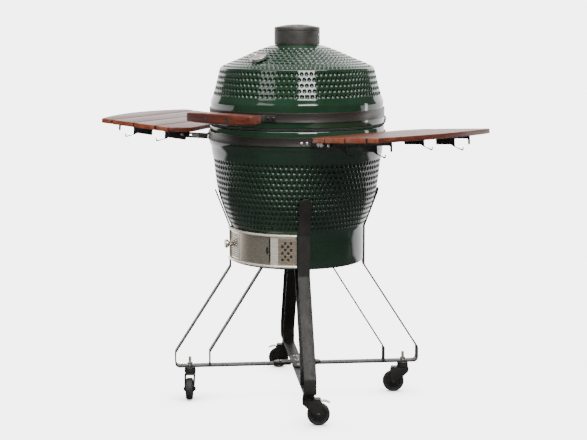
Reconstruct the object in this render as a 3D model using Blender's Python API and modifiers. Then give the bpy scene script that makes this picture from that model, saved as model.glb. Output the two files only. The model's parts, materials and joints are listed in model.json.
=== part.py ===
# Ceramic kamado charcoal grill on a four-legged wheeled cart.
# Metres, +Z up, the front faces -Y, and the cart stands on z = 0.
import math

import bmesh
import bpy

# Driving dimensions
GAP = 0.0003                # clearance between pieces that touch
BODY_Y = 0.031              # the bowl's axis stands this far behind the origin
ROUND_STEPS = 40            # facets around the ceramic shells
RIM_Z = 0.9456              # top of the ceramic base
LID_RIM_Z = 0.9530          # bottom of the ceramic lid
FOOT_RADIUS = 0.2276        # straight lower drum of the base
FOOT_BOTTOM_Z = 0.4830
FOOT_TOP_Z = 0.6030

BAND_THICKNESS = 0.0021
BASE_BAND_RADIUS = 0.3015   # outer radius of the steel band round the base
BASE_BAND_Z = (0.8960, 0.9260)
LID_BAND_RADIUS = 0.2970
LID_BAND_Z = (0.9726, 1.0042)

STRAP_WIDTH = 0.040
STRAP_THICKNESS = 0.005
BEAM_TOP_Z = 0.1138         # top face of the straps' level lower runs
LEG_ANGLES = {"front_right": -45, "back_right": 45, "back_left": 135, "front_left": -135}

CASTER_RADIUS = 0.3727      # from the bowl's axis to each swivel
CASTER_TRAIL = 0.032        # from the swivel to the wheel's axle
CASTER_TURN = {"front_right": 39, "back_right": 219, "back_left": 219, "front_left": -51}
WHEEL_RADIUS = 0.0375
WHEEL_HALF_WIDTH = 0.0130

HINGE_Y = 0.335             # lid hinge pin, from the bowl's axis
HINGE_Z = 0.948

SHELF_TURN = 9              # degrees that each shelf turns towards the front
SHELF_TILT = 4              # degrees that each shelf rises outwards
SHELF_PIVOT = (0.350, 0.909)        # distance out and height of the fold axis
SHELF_HALF_LENGTH = 0.255
SLAT_THICKNESS = 0.016
SLAT_UNDERSIDE = 0.012      # slats' underside above the fold axis
BAR_PLACE = 0.175           # crossbars' place along the shelf, either side of its middle
BAR_THICKNESS = 0.003

DRAFT_Z = (0.489, 0.601)    # draft door frame, bottom and top
DRAFT_HALF_ANGLE = 39

VENT_RADIUS = 0.077
VENT_SEAT_Z = 1.2135
VENT_HOLES = 5

COLOURS = {
    "glaze": ((0.030, 0.085, 0.050), 0.12, 0.0),
    "fire_clay": ((0.60, 0.52, 0.42), 0.85, 0.0),
    "black_steel": ((0.030, 0.030, 0.030), 0.40, 0.6),
    "stainless": ((0.55, 0.52, 0.47), 0.28, 1.0),
    "zinc": ((0.62, 0.62, 0.60), 0.35, 1.0),
    "iron": ((0.045, 0.043, 0.042), 0.60, 0.5),
    "wood": ((0.190, 0.045, 0.022), 0.35, 0.0),
    "felt": ((0.015, 0.015, 0.015), 0.95, 0.0),
    "black_rubber": ((0.020, 0.020, 0.019), 0.55, 0.0),
    "dial": ((0.80, 0.80, 0.78), 0.25, 0.3),
}


def clear_scene():
    for item in list(bpy.data.objects):
        bpy.data.objects.remove(item, do_unlink=True)


def make_collection(name):
    collection = bpy.data.collections.new(name)
    bpy.context.scene.collection.children.link(collection)
    return collection


def make_material(piece, finish):
    colour, roughness, metallic = COLOURS[finish]
    material = bpy.data.materials.new(piece + "_" + finish)
    material.use_nodes = True
    shader = material.node_tree.nodes["Principled BSDF"]
    shader.inputs["Base Color"].default_value = (*colour, 1.0)
    shader.inputs["Roughness"].default_value = roughness
    shader.inputs["Metallic"].default_value = metallic
    material.diffuse_color = (*colour, 1.0)
    return material


def place(name, mesh, finish, parent, location=(0, 0, 0), rotation=(0, 0, 0)):
    # one named sub-part; rotation is in degrees
    piece = bpy.data.objects.new(name, mesh)
    parts.objects.link(piece)
    if not mesh.materials:
        mesh.materials.append(make_material(name, finish))
    piece.parent = parent
    piece.location = location
    piece.rotation_euler = [math.radians(angle) for angle in rotation]
    return piece


def make_pivot(name, parent, location, rotation=(0, 0, 0)):
    pivot = bpy.data.objects.new(name, None)
    pivot.empty_display_size = 0.03
    parts.objects.link(pivot)
    pivot.parent = parent
    pivot.location = location
    pivot.rotation_euler = [math.radians(angle) for angle in rotation]
    return pivot


def hide_cutter(cutter):
    cutters.objects.link(cutter)
    cutter.hide_render = True
    cutter.display_type = "WIRE"
    return cutter


def join_or_cut(piece, other, operation="DIFFERENCE"):
    step = piece.modifiers.new(operation.lower(), "BOOLEAN")
    step.operation = operation
    step.object = other
    return step


def box_cutter(name, parent, low, high):
    mesh = bpy.data.meshes.new(name)
    shape = bmesh.new()
    bmesh.ops.create_cube(shape, size=1.0)
    size = [high[i] - low[i] for i in range(3)]
    centre = [(high[i] + low[i]) / 2 for i in range(3)]
    bmesh.ops.scale(shape, vec=size, verts=shape.verts)
    bmesh.ops.translate(shape, vec=centre, verts=shape.verts)
    shape.to_mesh(mesh)
    shape.free()
    cutter = hide_cutter(bpy.data.objects.new(name, mesh))
    cutter.parent = parent
    return cutter


def rod_mesh(name, radius, length, segments=16):
    # a rod along Z, centred on its own origin
    mesh = bpy.data.meshes.new(name)
    shape = bmesh.new()
    bmesh.ops.create_cone(shape, cap_ends=True, segments=segments,
                          radius1=radius, radius2=radius, depth=length)
    shape.to_mesh(mesh)
    shape.free()
    mesh.shade_smooth()
    mesh.set_sharp_from_angle(angle=math.radians(40))
    return mesh


def rod_cutter(name, parent, radius, length, location, rotation=(0, 0, 0), segments=16):
    cutter = hide_cutter(bpy.data.objects.new(name, rod_mesh(name, radius, length, segments)))
    cutter.parent = parent
    cutter.location = location
    cutter.rotation_euler = [math.radians(angle) for angle in rotation]
    return cutter


def turned_mesh(name, profile, steps=ROUND_STEPS, closed=True):
    # profile points are (radius, height), running down the outer side first
    mesh = bpy.data.meshes.new(name + "_profile")
    shape = bmesh.new()
    points = [shape.verts.new((radius, 0, height)) for radius, height in profile]
    for first, second in zip(points, points[1:]):
        shape.edges.new((first, second))
    if closed:
        shape.edges.new((points[-1], points[0]))
    shape.to_mesh(mesh)
    shape.free()
    guide = bpy.data.objects.new(name + "_guide", mesh)
    parts.objects.link(guide)
    screw = guide.modifiers.new("turn", "SCREW")
    screw.steps = steps
    screw.render_steps = steps
    screw.use_merge_vertices = True
    screw.merge_threshold = 0.00001
    return baked_mesh(guide, name)


def baked_mesh(guide, name):
    # the evaluated shape of a guide object as a welded mesh; the guide goes
    bpy.context.view_layer.update()
    depsgraph = bpy.context.evaluated_depsgraph_get()
    mesh = bpy.data.meshes.new_from_object(guide.evaluated_get(depsgraph))
    mesh.name = name
    shape = bmesh.new()
    shape.from_mesh(mesh)
    bmesh.ops.remove_doubles(shape, verts=shape.verts, dist=0.000005)
    shape.to_mesh(mesh)
    shape.free()
    bpy.data.objects.remove(guide, do_unlink=True)
    mesh.shade_smooth()
    mesh.set_sharp_from_angle(angle=math.radians(35))
    return mesh


def outline_mesh(name, loops, low, high):
    # flat outlines in XY, the first one outside and the rest holes, from z = low to high
    curve = bpy.data.curves.new(name, "CURVE")
    curve.dimensions = "2D"
    curve.fill_mode = "BOTH"
    curve.extrude = (high - low) / 2
    for loop in loops:
        spline = curve.splines.new("POLY")
        spline.points.add(len(loop) - 1)
        for point, (x, y) in zip(spline.points, loop):
            point.co = (x, y, 0, 1)
        spline.use_cyclic_u = True
    guide = bpy.data.objects.new(name + "_guide", curve)
    parts.objects.link(guide)
    mesh = baked_mesh(guide, name)
    shape = bmesh.new()
    shape.from_mesh(mesh)
    bmesh.ops.translate(shape, vec=(0, 0, (low + high) / 2), verts=shape.verts)
    shape.to_mesh(mesh)
    shape.free()
    return mesh


def outline_cutter(name, parent, loop, low, high):
    cutter = hide_cutter(bpy.data.objects.new(name, outline_mesh(name, [loop], low, high)))
    cutter.parent = parent
    return cutter


def strip_outline(path, thickness):
    # the edge view of a bent strip: its centre line offset to both sides, with mitred bends
    half = thickness / 2
    left, right = [], []
    for i, (x, y) in enumerate(path):
        before = path[max(i - 1, 0)]
        after = path[min(i + 1, len(path) - 1)]
        incoming = math.atan2(y - before[1], x - before[0])
        outgoing = math.atan2(after[1] - y, after[0] - x)
        if i == 0:
            incoming = outgoing
        if i == len(path) - 1:
            outgoing = incoming
        turn = (outgoing - incoming + math.pi) % (2 * math.pi) - math.pi
        middle = incoming + turn / 2
        reach = half / math.cos(turn / 2)
        left.append((x - reach * math.sin(middle), y + reach * math.cos(middle)))
        right.append((x + reach * math.sin(middle), y - reach * math.cos(middle)))
    return left + right[::-1]


def arc_points(radius, start, end, steps, centre=(0, 0)):
    # angles in degrees, counter-clockwise from +X
    points = []
    for i in range(steps + 1):
        angle = math.radians(start + (end - start) * i / steps)
        points.append((centre[0] + radius * math.cos(angle), centre[1] + radius * math.sin(angle)))
    return points


def front_arc(radius, start, end, steps):
    # the same, with angles from the front (-Y) towards +X
    return arc_points(radius, start - 90, end - 90, steps)


def arc_plate_loop(inner, outer, start, end, steps=12):
    return front_arc(outer, start, end, steps) + front_arc(inner, end, start, steps)


# Ceramic body -------------------------------------------------------------------------------

def build_base(root):
    outer = [(0.2960, RIM_Z), (0.2985, 0.9300), (0.2990, 0.8900), (0.2960, 0.8800),
             (0.2890, 0.8440), (0.2825, 0.8200), (0.2800, 0.7900), (0.2770, 0.7670),
             (0.2725, 0.7350), (0.2655, 0.7050), (0.2525, 0.6650), (0.2395, 0.6300),
             (0.2290, 0.6070), (FOOT_RADIUS, FOOT_TOP_Z), (FOOT_RADIUS, 0.4850),
             (0.2256, FOOT_BOTTOM_Z), (0, FOOT_BOTTOM_Z)]
    inner = [(0, BOWL_FLOOR_Z), (0.2030, BOWL_FLOOR_Z), (0.2030, 0.6000), (0.2160, 0.6400),
             (0.2450, 0.7200), (0.2520, 0.7700), (0.2620, 0.8500), (0.2700, 0.9000),
             (0.2720, RIM_Z)]
    mesh = turned_mesh("ceramic_base", inner + outer, closed=False)
    base = place("ceramic_base", mesh, "glaze", root)
    draft = box_cutter("draft_opening", root, (-0.055, -0.26, 0.515), (0.055, -0.18, 0.575))
    join_or_cut(base, draft)


def build_lid(lid):
    outer = [(0.0550, VENT_SEAT_Z), (0.0850, 1.2130), (0.1180, 1.2010), (0.1550, 1.1850),
             (0.2040, 1.1640), (0.2380, 1.1500), (0.2560, 1.1385), (0.2640, 1.1260),
             (0.2710, 1.0940), (0.2810, 1.0580), (0.2900, 1.0300), (0.2930, 1.0050),
             (0.2942, LID_RIM_Z)]
    inner = [(0.2700, LID_RIM_Z), (0.2680, 1.0000), (0.2560, 1.0550), (0.2450, 1.0900),
             (0.2360, 1.1140), (0.2150, 1.1320), (0.1500, 1.1600), (0.1000, 1.1790),
             (0.0550, 1.1870)]
    mesh = turned_mesh("ceramic_lid", outer + inner)
    ceramic = place("ceramic_lid", mesh, "glaze", lid, location=lid_offset)
    stem_hole = rod_cutter("thermometer_hole", lid, 0.0050, 0.10,
                           on_lid(0, -THERMOMETER_RADIUS, THERMOMETER_Z), (THERMOMETER_TILT, 0, 0))
    join_or_cut(ceramic, stem_hole)


def ring_profile(inner, outer, low, high):
    return [(outer, high), (outer, low), (inner, low), (inner, high)]


def build_bands(root, lid):
    inner = BASE_BAND_RADIUS - BAND_THICKNESS
    profile = ring_profile(inner, BASE_BAND_RADIUS, *BASE_BAND_Z)
    place("base_band", turned_mesh("base_band", profile), "black_steel", root)
    inner = LID_BAND_RADIUS - BAND_THICKNESS
    profile = ring_profile(inner, LID_BAND_RADIUS, *LID_BAND_Z)
    place("lid_band", turned_mesh("lid_band", profile), "black_steel", lid, location=lid_offset)
    middle = (RIM_Z + LID_RIM_Z) / 2
    profile = ring_profile(0.2730, 0.2955, RIM_Z + GAP, middle - GAP / 2)
    place("base_gasket", turned_mesh("base_gasket", profile), "felt", root)
    profile = ring_profile(0.2730, 0.2955, middle + GAP / 2, LID_RIM_Z - GAP)
    place("lid_gasket", turned_mesh("lid_gasket", profile), "felt", lid, location=lid_offset)


# Inside the bowl ----------------------------------------------------------------------------

BOWL_FLOOR_Z = 0.5100           # top of the base's floor, which the fire box stands on
CHARCOAL_SEAT_Z = 0.5600        # ledge in the fire box for the charcoal grate
FIRE_BOX_TOP_Z = 0.7400
FIRE_RING_TOP_Z = 0.9050        # seat of the cooking grate


def build_fire_parts(root):
    floor = BOWL_FLOOR_Z + GAP
    seat = CHARCOAL_SEAT_Z
    split = FIRE_BOX_TOP_Z
    profile = [(0.2250, split), (0.1900, seat), (0.1880, floor),
               (0.1300, floor), (0.1300, seat), (0.1650, seat), (0.2050, split)]
    fire_box = place("fire_box", turned_mesh("fire_box", profile, 32), "fire_clay", root)
    notch = box_cutter("fire_box_notch", root, (-0.060, -0.25, 0.500), (0.060, -0.11, 0.552))
    join_or_cut(fire_box, notch)
    profile = [(0.2380, FIRE_RING_TOP_Z), (0.2270, split + GAP), (0.2050, split + GAP),
               (0.2150, FIRE_RING_TOP_Z)]
    place("fire_ring", turned_mesh("fire_ring", profile, 32), "fire_clay", root)
    place("charcoal_grate", grate_mesh("charcoal_grate", 0.160, 0.0300, 0.0060, 0.010),
          "iron", root, location=(0, 0, seat + GAP))
    place("cooking_grate", grate_mesh("cooking_grate", 0.236, 0.0260, 0.0040, 0.008),
          "stainless", root, location=(0, 0, FIRE_RING_TOP_Z + GAP))


def grate_mesh(name, radius, pitch, bar, thickness):
    # a round plate with long slots that leave parallel bars and a rim
    rim = radius - 0.012
    slot = (pitch - bar) / 2
    loops = [arc_points(radius, 0, 360 - 360 / 32, 31)]
    count = int(rim / pitch)
    for i in range(-count, count + 1):
        x = i * pitch
        reach = abs(x) + slot
        if reach < rim * 0.97:
            end = math.sqrt(rim ** 2 - reach ** 2)
            loops.append([(x - slot, -end), (x + slot, -end), (x + slot, end), (x - slot, end)])
    return outline_mesh(name, loops, 0, thickness)


# Lid fittings -------------------------------------------------------------------------------

THERMOMETER_RADIUS = 0.196      # distance in front of the bowl's axis, on the dome
THERMOMETER_Z = 1.1675
THERMOMETER_TILT = 23.2         # the dome's slope there


def on_lid(x, y, z):
    # a place given from the bowl's axis, in the lid pivot's own frame
    return (x, y - HINGE_Y, z - HINGE_Z)


def build_vent(lid):
    seat = VENT_SEAT_Z + GAP
    split = 1.2620
    profile = [(0.0, split), (VENT_RADIUS, split), (VENT_RADIUS, seat), (0.0540, seat),
               (0.0540, 1.1900), (0.0500, 1.1900), (0.0500, split - 0.005), (0.0, split - 0.005)]
    mesh = turned_mesh("vent_collar", profile, 32, closed=False)
    collar = place("vent_collar", mesh, "iron", lid, location=lid_offset)
    for i in range(VENT_HOLES):
        angle = math.radians(360 * i / VENT_HOLES)
        spot = on_lid(0.033 * math.cos(angle), 0.033 * math.sin(angle), split)
        join_or_cut(collar, rod_cutter("vent_hole_%d" % i, lid, 0.011, 0.03, spot, segments=12))
    dial_pivot = make_pivot("vent_pivot", lid, on_lid(0, 0, 0))
    low = split + GAP
    profile = [(0.0, 1.2820), (0.0300, 1.2805), (0.0600, 1.2780), (0.0740, 1.2755),
               (VENT_RADIUS, 1.2725), (VENT_RADIUS, low), (0.0, low)]
    mesh = turned_mesh("vent_dial", profile, 32, closed=False)
    dial = place("vent_dial", mesh, "iron", dial_pivot)
    for i in range(VENT_HOLES):
        angle = math.radians(360 * (i + 0.5) / VENT_HOLES)
        spot = (0.033 * math.cos(angle), 0.033 * math.sin(angle), low)
        join_or_cut(dial, rod_cutter("dial_hole_%d" % i, dial_pivot, 0.011, 0.06, spot, segments=12))


def build_thermometer(lid):
    profile = [(0.0, 0.0150), (0.0260, 0.0150), (0.0290, 0.0140), (0.0300, 0.0120),
               (0.0300, 0.0040), (0.0060, 0.0030), (0.0035, 0.0025), (0.0035, -0.0550),
               (0.0, -0.0560)]
    mesh = turned_mesh("thermometer", profile, 24, closed=False)
    place("thermometer", mesh, "dial", lid, rotation=(THERMOMETER_TILT, 0, 0),
          location=on_lid(0, -THERMOMETER_RADIUS, THERMOMETER_Z))


HANDLE_Z = (0.9700, 1.0040)
HANDLE_OUTER_RADIUS = 0.850     # the bar bows forward on this radius
HANDLE_DEPTH = 0.052
HANDLE_FRONT_Y = -0.410
HANDLE_HALF_LENGTH = 0.140
HANDLE_BRACKET_Z = (0.9760, 0.9980)
HANDLE_BRACKET_X = (0.078, 0.056)   # where each bracket lies along the bar's back


def build_handle(lid):
    centre = (0, HANDLE_FRONT_Y + HANDLE_OUTER_RADIUS)
    inner_radius = HANDLE_OUTER_RADIUS - HANDLE_DEPTH
    outer_sweep = math.degrees(math.asin(HANDLE_HALF_LENGTH / HANDLE_OUTER_RADIUS))
    inner_sweep = math.degrees(math.asin(HANDLE_HALF_LENGTH / inner_radius))
    loop = arc_points(HANDLE_OUTER_RADIUS, -90 - outer_sweep, -90 + outer_sweep, 12, centre)
    loop += arc_points(inner_radius, -90 + inner_sweep, -90 - inner_sweep, 12, centre)
    bar = place("handle_bar", outline_mesh("handle_bar", [loop], *HANDLE_Z), "wood", lid,
                location=lid_offset)
    rounding = bar.modifiers.new("rounding", "BEVEL")
    rounding.width = 0.006
    rounding.segments = 2
    rounding.angle_limit = math.radians(50)
    back = inner_radius - GAP - 0.0015
    for side, name in ((1, "handle_bracket_right"), (-1, "handle_bracket_left")):
        band = front_arc(LID_BAND_RADIUS + GAP + 0.0017, 26, 17.5, 3)
        turns = [math.degrees(math.asin(x / back)) for x in HANDLE_BRACKET_X]
        bar_end = arc_points(back, -90 + turns[0], -90 + turns[1], 2, centre)
        path = [(side * x, y) for x, y in band + bar_end]
        mesh = outline_mesh(name, [strip_outline(path, 0.003)], *HANDLE_BRACKET_Z)
        place(name, mesh, "black_steel", lid, location=lid_offset)


# Lid hinge ----------------------------------------------------------------------------------

def ear_path(radius, half_width, end_y):
    # a strip that hugs the bowl's back, with its two ends bent straight back
    sweep = math.degrees(math.asin(half_width / radius))
    arc = arc_points(radius, 90 - sweep, 90 + sweep, 10)
    return [(half_width, end_y)] + arc + [(-half_width, end_y)]


def build_hinge(root, lid):
    end_y = HINGE_Y + 0.013
    path = ear_path(BASE_BAND_RADIUS + GAP + 0.0017, 0.122, end_y)
    mesh = outline_mesh("hinge_lower_bracket", [strip_outline(path, 0.003)], 0.900, 0.961)
    lower = place("hinge_lower_bracket", mesh, "black_steel", root)
    join_or_cut(lower, box_cutter("lower_clear", root, (-0.117, 0.20, 0.924), (0.117, 0.40, 1.0)))
    join_or_cut(lower, rod_cutter("lower_bore", root, 0.0054, 0.30, (0, HINGE_Y, HINGE_Z),
                                  (0, 90, 0)))
    path = ear_path(LID_BAND_RADIUS + GAP + 0.0017, 0.1140, end_y)
    mesh = outline_mesh("hinge_upper_bracket", [strip_outline(path, 0.003)], 0.936, 1.001)
    upper = place("hinge_upper_bracket", mesh, "black_steel", lid, location=lid_offset)
    join_or_cut(upper, box_cutter("upper_clear", lid, on_lid(-0.109, 0.20, 0.90),
                                  on_lid(0.109, 0.40, 0.976)))
    join_or_cut(upper, rod_cutter("upper_bore", lid, 0.0054, 0.30, (0, 0, 0), (0, 90, 0)))
    pin = [(0.0, 0.1290), (0.0085, 0.1290), (0.0085, 0.1240), (0.0050, 0.1240),
           (0.0050, -0.1240), (0.0085, -0.1240), (0.0085, -0.1290), (0.0, -0.1290)]
    mesh = turned_mesh("hinge_pin", pin, 16, closed=False)
    place("hinge_pin", mesh, "zinc", root, (0, HINGE_Y, HINGE_Z), (0, 90, 0))
    place("hinge_spring", spring_mesh("hinge_spring", 0.0082, 0.0018, 0.050, 6), "zinc", root,
          (0, HINGE_Y, HINGE_Z), (0, 90, 0))


def spring_mesh(name, radius, wire, length, turns):
    curve = bpy.data.curves.new(name, "CURVE")
    curve.dimensions = "3D"
    curve.bevel_depth = wire
    curve.bevel_resolution = 1
    curve.use_fill_caps = True
    spline = curve.splines.new("POLY")
    per_turn = 9
    count = turns * per_turn
    spline.points.add(count)
    for i, point in enumerate(spline.points):
        angle = 2 * math.pi * i / per_turn
        height = length * (i / count - 0.5)
        point.co = (radius * math.cos(angle), radius * math.sin(angle), height, 1)
    guide = bpy.data.objects.new(name + "_guide", curve)
    parts.objects.link(guide)
    return baked_mesh(guide, name)


# Draft door ---------------------------------------------------------------------------------

KNOB_ANGLE = -34.4


def build_draft_door(root):
    low, high = DRAFT_Z
    half = DRAFT_HALF_ANGLE
    loop = arc_plate_loop(0.2284, 0.2362, -half, half, 13)
    frame = place("draft_frame", outline_mesh("draft_frame", [loop], low, high), "stainless", root)
    track = arc_plate_loop(0.2300, 0.2346, -half + 1.4, half - 1.4, 12)
    join_or_cut(frame, outline_cutter("draft_track", root, track, low + 0.004, high - 0.004))
    window = arc_plate_loop(0.2335, 0.2400, -half + 1.4, 17.5, 9)
    join_or_cut(frame, outline_cutter("draft_window", root, window, low + 0.0095, high - 0.0095))
    back = arc_plate_loop(0.2270, 0.2310, -half + 3, 17, 9)
    join_or_cut(frame, outline_cutter("draft_back", root, back, low + 0.018, high - 0.018))

    panel = (low + 0.0046, high - 0.0046)
    door_pivot = make_pivot("draft_door_pivot", root, (0, 0, 0))
    loop = arc_plate_loop(0.2318, 0.2331, -18, 16, 8)
    place("draft_door", outline_mesh("draft_door", [loop], *panel), "stainless", door_pivot)

    screen_pivot = make_pivot("spark_screen_pivot", root, (0, 0, 0))
    loop = arc_plate_loop(0.2304, 0.2313, -half + 1.7, 1.5, 8)
    screen = place("spark_screen", outline_mesh("spark_screen", [loop], *panel), "stainless",
                   screen_pivot)
    for i in range(4):
        slot = arc_plate_loop(0.2250, 0.2400, -29, -2, 5)
        bottom = low + 0.022 + i * 0.019
        join_or_cut(screen, outline_cutter("screen_slot_%d" % i, screen_pivot, slot,
                                           bottom, bottom + 0.011))
    middle = (low + high) / 2
    angle = math.radians(KNOB_ANGLE)
    reach = 0.2431
    knob = rod_cutter("screen_knob", screen_pivot, 0.0115, 0.0248,
                      (reach * math.sin(angle), -reach * math.cos(angle), middle),
                      (90, 0, KNOB_ANGLE), segments=12)
    join_or_cut(screen, knob, "UNION")


# Cart ---------------------------------------------------------------------------------------

def build_cart(root):
    half_steel = STRAP_THICKNESS / 2
    beam_z = BEAM_TOP_Z - half_steel
    corner = arc_points(0.020, 0, -90, 3, (0.4222 - 0.020, beam_z + 0.020))
    leg_path = [(0.2805, 0.7270), (0.2305, 0.5970), (0.2305, 0.4600), (0.4222, 0.1620)]
    leg_path += corner + [(0.0220, beam_z)]
    leg = outline_mesh("leg_strap", [strip_outline(leg_path, STRAP_THICKNESS)],
                       -STRAP_WIDTH / 2, STRAP_WIDTH / 2)
    for name, angle in LEG_ANGLES.items():
        strap = place("leg_strap_" + name, leg, "black_steel", root, rotation=(90, 0, angle))
        spot = polar(CASTER_RADIUS, angle, BEAM_TOP_Z)
        join_or_cut(strap, rod_cutter("stem_hole_" + name, root, 0.0065, 0.03, spot))

    foot_z = BEAM_TOP_Z + GAP
    seat_z = FOOT_BOTTOM_Z - GAP - half_steel
    side = [(0.3040, foot_z), (0.3040, 0.1620), (0.1050, seat_z)]
    other_side = [(-x, z) for x, z in reversed(side)]
    joggle_z = seat_z - STRAP_THICKNESS - GAP
    joggle = [(0.0300, seat_z), (0.0240, joggle_z), (-0.0240, joggle_z), (-0.0300, seat_z)]
    runs = {"inner_strap_upper": (side + other_side, -45),
            "inner_strap_lower": (side + joggle + other_side, 45)}
    for name, (path, angle) in runs.items():
        mesh = outline_mesh(name, [strip_outline(path, STRAP_THICKNESS)],
                            -STRAP_WIDTH / 2, STRAP_WIDTH / 2)
        place(name, mesh, "black_steel", root, rotation=(90, 0, angle))

    place("cross_joiner", cross_mesh("cross_joiner", 0.082, STRAP_WIDTH / 2), "black_steel", root,
          location=(0, 0, BEAM_TOP_Z + GAP), rotation=(0, 0, 45))


def polar(radius, angle, z):
    radians = math.radians(angle)
    return (radius * math.cos(radians), radius * math.sin(radians), z)


def cross_mesh(name, reach, half_width):
    # a flat cross whose four arms have round ends
    loop = []
    for turn in range(4):
        end = arc_points(half_width, -90, 90, 6, (reach - half_width, 0))
        angle = math.radians(90 * turn)
        for x, y in end:
            loop.append((x * math.cos(angle) - y * math.sin(angle),
                         x * math.sin(angle) + y * math.cos(angle)))
        corner = math.radians(90 * turn + 45)
        reach_in = half_width * math.sqrt(2)
        loop.append((reach_in * math.cos(corner), reach_in * math.sin(corner)))
    return outline_mesh(name, [loop], 0, STRAP_THICKNESS)


# Casters ------------------------------------------------------------------------------------

FORK_TOP_Z = 0.1034
CROWN_Z = 0.0885            # top of the plate over the wheel
BRAKED = ("front_right", "back_left")


def fork_mesh():
    # two cheeks, a crown plate, a bearing housing and the axle, as one solid; trails along +X
    cheek_loop = [(-0.0200, CROWN_Z - 0.003), (-0.0200, 0.0760)]
    cheek_loop += arc_points(0.0095, 220, 380, 6, (CASTER_TRAIL, WHEEL_RADIUS))
    cheek_loop += [(0.0380, CROWN_Z - 0.003)]
    inner, outer = 0.0145, 0.0170
    pieces = []
    for side in (1, -1):
        low, high = sorted((side * inner, side * outer))
        cheek = outline_mesh("cheek", [cheek_loop], -high, -low)
        cheek_object = hide_cutter(bpy.data.objects.new("cheek_%d" % side, cheek))
        cheek_object.rotation_euler = (math.radians(90), 0, 0)
        pieces.append(cheek_object)
    pieces.append(rod_cutter("housing", None, 0.0195, FORK_TOP_Z - CROWN_Z + 0.001,
                             (0, 0, (FORK_TOP_Z + CROWN_Z - 0.001) / 2)))
    pieces.append(rod_cutter("axle", None, 0.0040, 2 * inner + 0.008,
                             (CASTER_TRAIL, 0, WHEEL_RADIUS), (90, 0, 0), segments=10))
    crown = outline_mesh("fork_crown", [[(-0.0200, -outer), (0.0380, -outer),
                                         (0.0380, outer), (-0.0200, outer)]],
                         CROWN_Z - 0.003, CROWN_Z)
    guide = bpy.data.objects.new("fork_guide", crown)
    parts.objects.link(guide)
    for piece in pieces:
        join_or_cut(guide, piece, "UNION")
    return baked_mesh(guide, "caster_fork")


def wheel_mesh():
    shoulder = WHEEL_RADIUS - 0.003
    profile = [(0.0043, WHEEL_HALF_WIDTH), (0.0100, WHEEL_HALF_WIDTH), (0.0130, 0.0105),
               (shoulder, 0.0105), (WHEEL_RADIUS, 0.0080)]
    mirrored = [(radius, -height) for radius, height in reversed(profile)]
    return turned_mesh("caster_wheel", profile + mirrored, 24)


def stem_mesh():
    under = BEAM_TOP_Z - STRAP_THICKNESS - GAP
    profile = [(0.0, 0.1440), (0.0045, 0.1440), (0.0055, 0.1430), (0.0055, 0.1235),
               (0.0100, 0.1235), (0.0100, BEAM_TOP_Z + GAP), (0.0055, BEAM_TOP_Z + GAP),
               (0.0055, under), (0.0150, under), (0.0150, FORK_TOP_Z + GAP),
               (0.0, FORK_TOP_Z + GAP)]
    return turned_mesh("caster_stem", profile, 12, closed=False)


def lever_mesh():
    # a pressed tread over the wheel, seen from the side and extruded across
    path = [(0.0140, 0.0805), (0.0520, 0.0815), (0.0700, 0.0760)]
    return outline_mesh("brake_lever", [strip_outline(path, 0.0030)], -0.0120, 0.0120)


def build_casters(root):
    fork, wheel, stem, lever = fork_mesh(), wheel_mesh(), stem_mesh(), lever_mesh()
    for name, angle in LEG_ANGLES.items():
        spot = polar(CASTER_RADIUS, angle, 0)
        place("caster_stem_" + name, stem, "zinc", root, location=spot)
        swivel = make_pivot("swivel_" + name, root, spot, (0, 0, CASTER_TURN[name]))
        place("caster_fork_" + name, fork, "black_steel", swivel)
        place("caster_wheel_" + name, wheel, "black_rubber", swivel,
              (CASTER_TRAIL, 0, WHEEL_RADIUS), (90, 0, 0))
        if name in BRAKED:
            place("brake_lever_" + name, lever, "zinc", swivel, rotation=(90, 0, 0))


# Side shelves -------------------------------------------------------------------------------

SLAT_EDGES = (0.335, 0.412, 0.503, 0.595, 0.641)    # gap lines, out from the bowl's axis
SLAT_GAP = 0.005
BOW_DEPTH = 0.045           # how far the outer slat bows beyond its ends


def slat_loops():
    out = [edge - SHELF_PIVOT[0] for edge in SLAT_EDGES]
    half = SHELF_HALF_LENGTH
    slit = SLAT_GAP / 2
    inner_edge = [(0.0100, -half), (-0.0150, -half + 0.030), (-0.0380, -0.190), (-0.0380, -0.150),
                  (-0.0260, -0.090), (-0.0200, 0.0)]
    inner_edge += [(x, -y) for x, y in reversed(inner_edge[:-1])]
    loops = [[(out[1] - slit, -half), (out[1] - slit, half)] + inner_edge[::-1]]
    for low, high in ((out[1], out[2]), (out[2], out[3])):
        loops.append([(low + slit, -half), (high - slit, -half), (high - slit, half),
                      (low + slit, half)])
    bow = []
    for i in range(17):
        along = -half + 2 * half * i / 16
        bow.append((out[4] + BOW_DEPTH * (1 - (along / half) ** 2), along))
    loops.append([(out[3] + slit, half), (out[3] + slit, -half)] + bow)
    return loops


def crossbar_loop():
    # distance out from the fold axis, and height over it
    top = SLAT_UNDERSIDE - GAP
    waist = SLAT_UNDERSIDE - 0.012
    neck = waist + 0.001
    deep = SLAT_UNDERSIDE - 0.031
    loop = [(-0.0130, top), (-0.0130, deep)]
    for start, end, hook in ((-0.0130, 0.0755, 0.1105), (0.1290, 0.2090, 0.2430)):
        if start > 0:
            loop += [(start, waist), (start, deep)]
        loop += [(end - 0.016, deep), (end + 0.004, deep - 0.012), (hook - 0.003, deep - 0.019),
                 (hook + 0.001, deep - 0.018), (hook + 0.003, deep - 0.008),
                 (hook, deep - 0.008), (hook - 0.002, deep - 0.015),
                 (end + 0.006, deep - 0.008), (end, deep - 0.004)]
        loop += [(end, waist - 0.001 if start < 0 else neck)]
    loop += [(0.2660, neck + 0.001), (0.2660, deep), (0.2735, deep), (0.2735, top)]
    return loop


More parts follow.
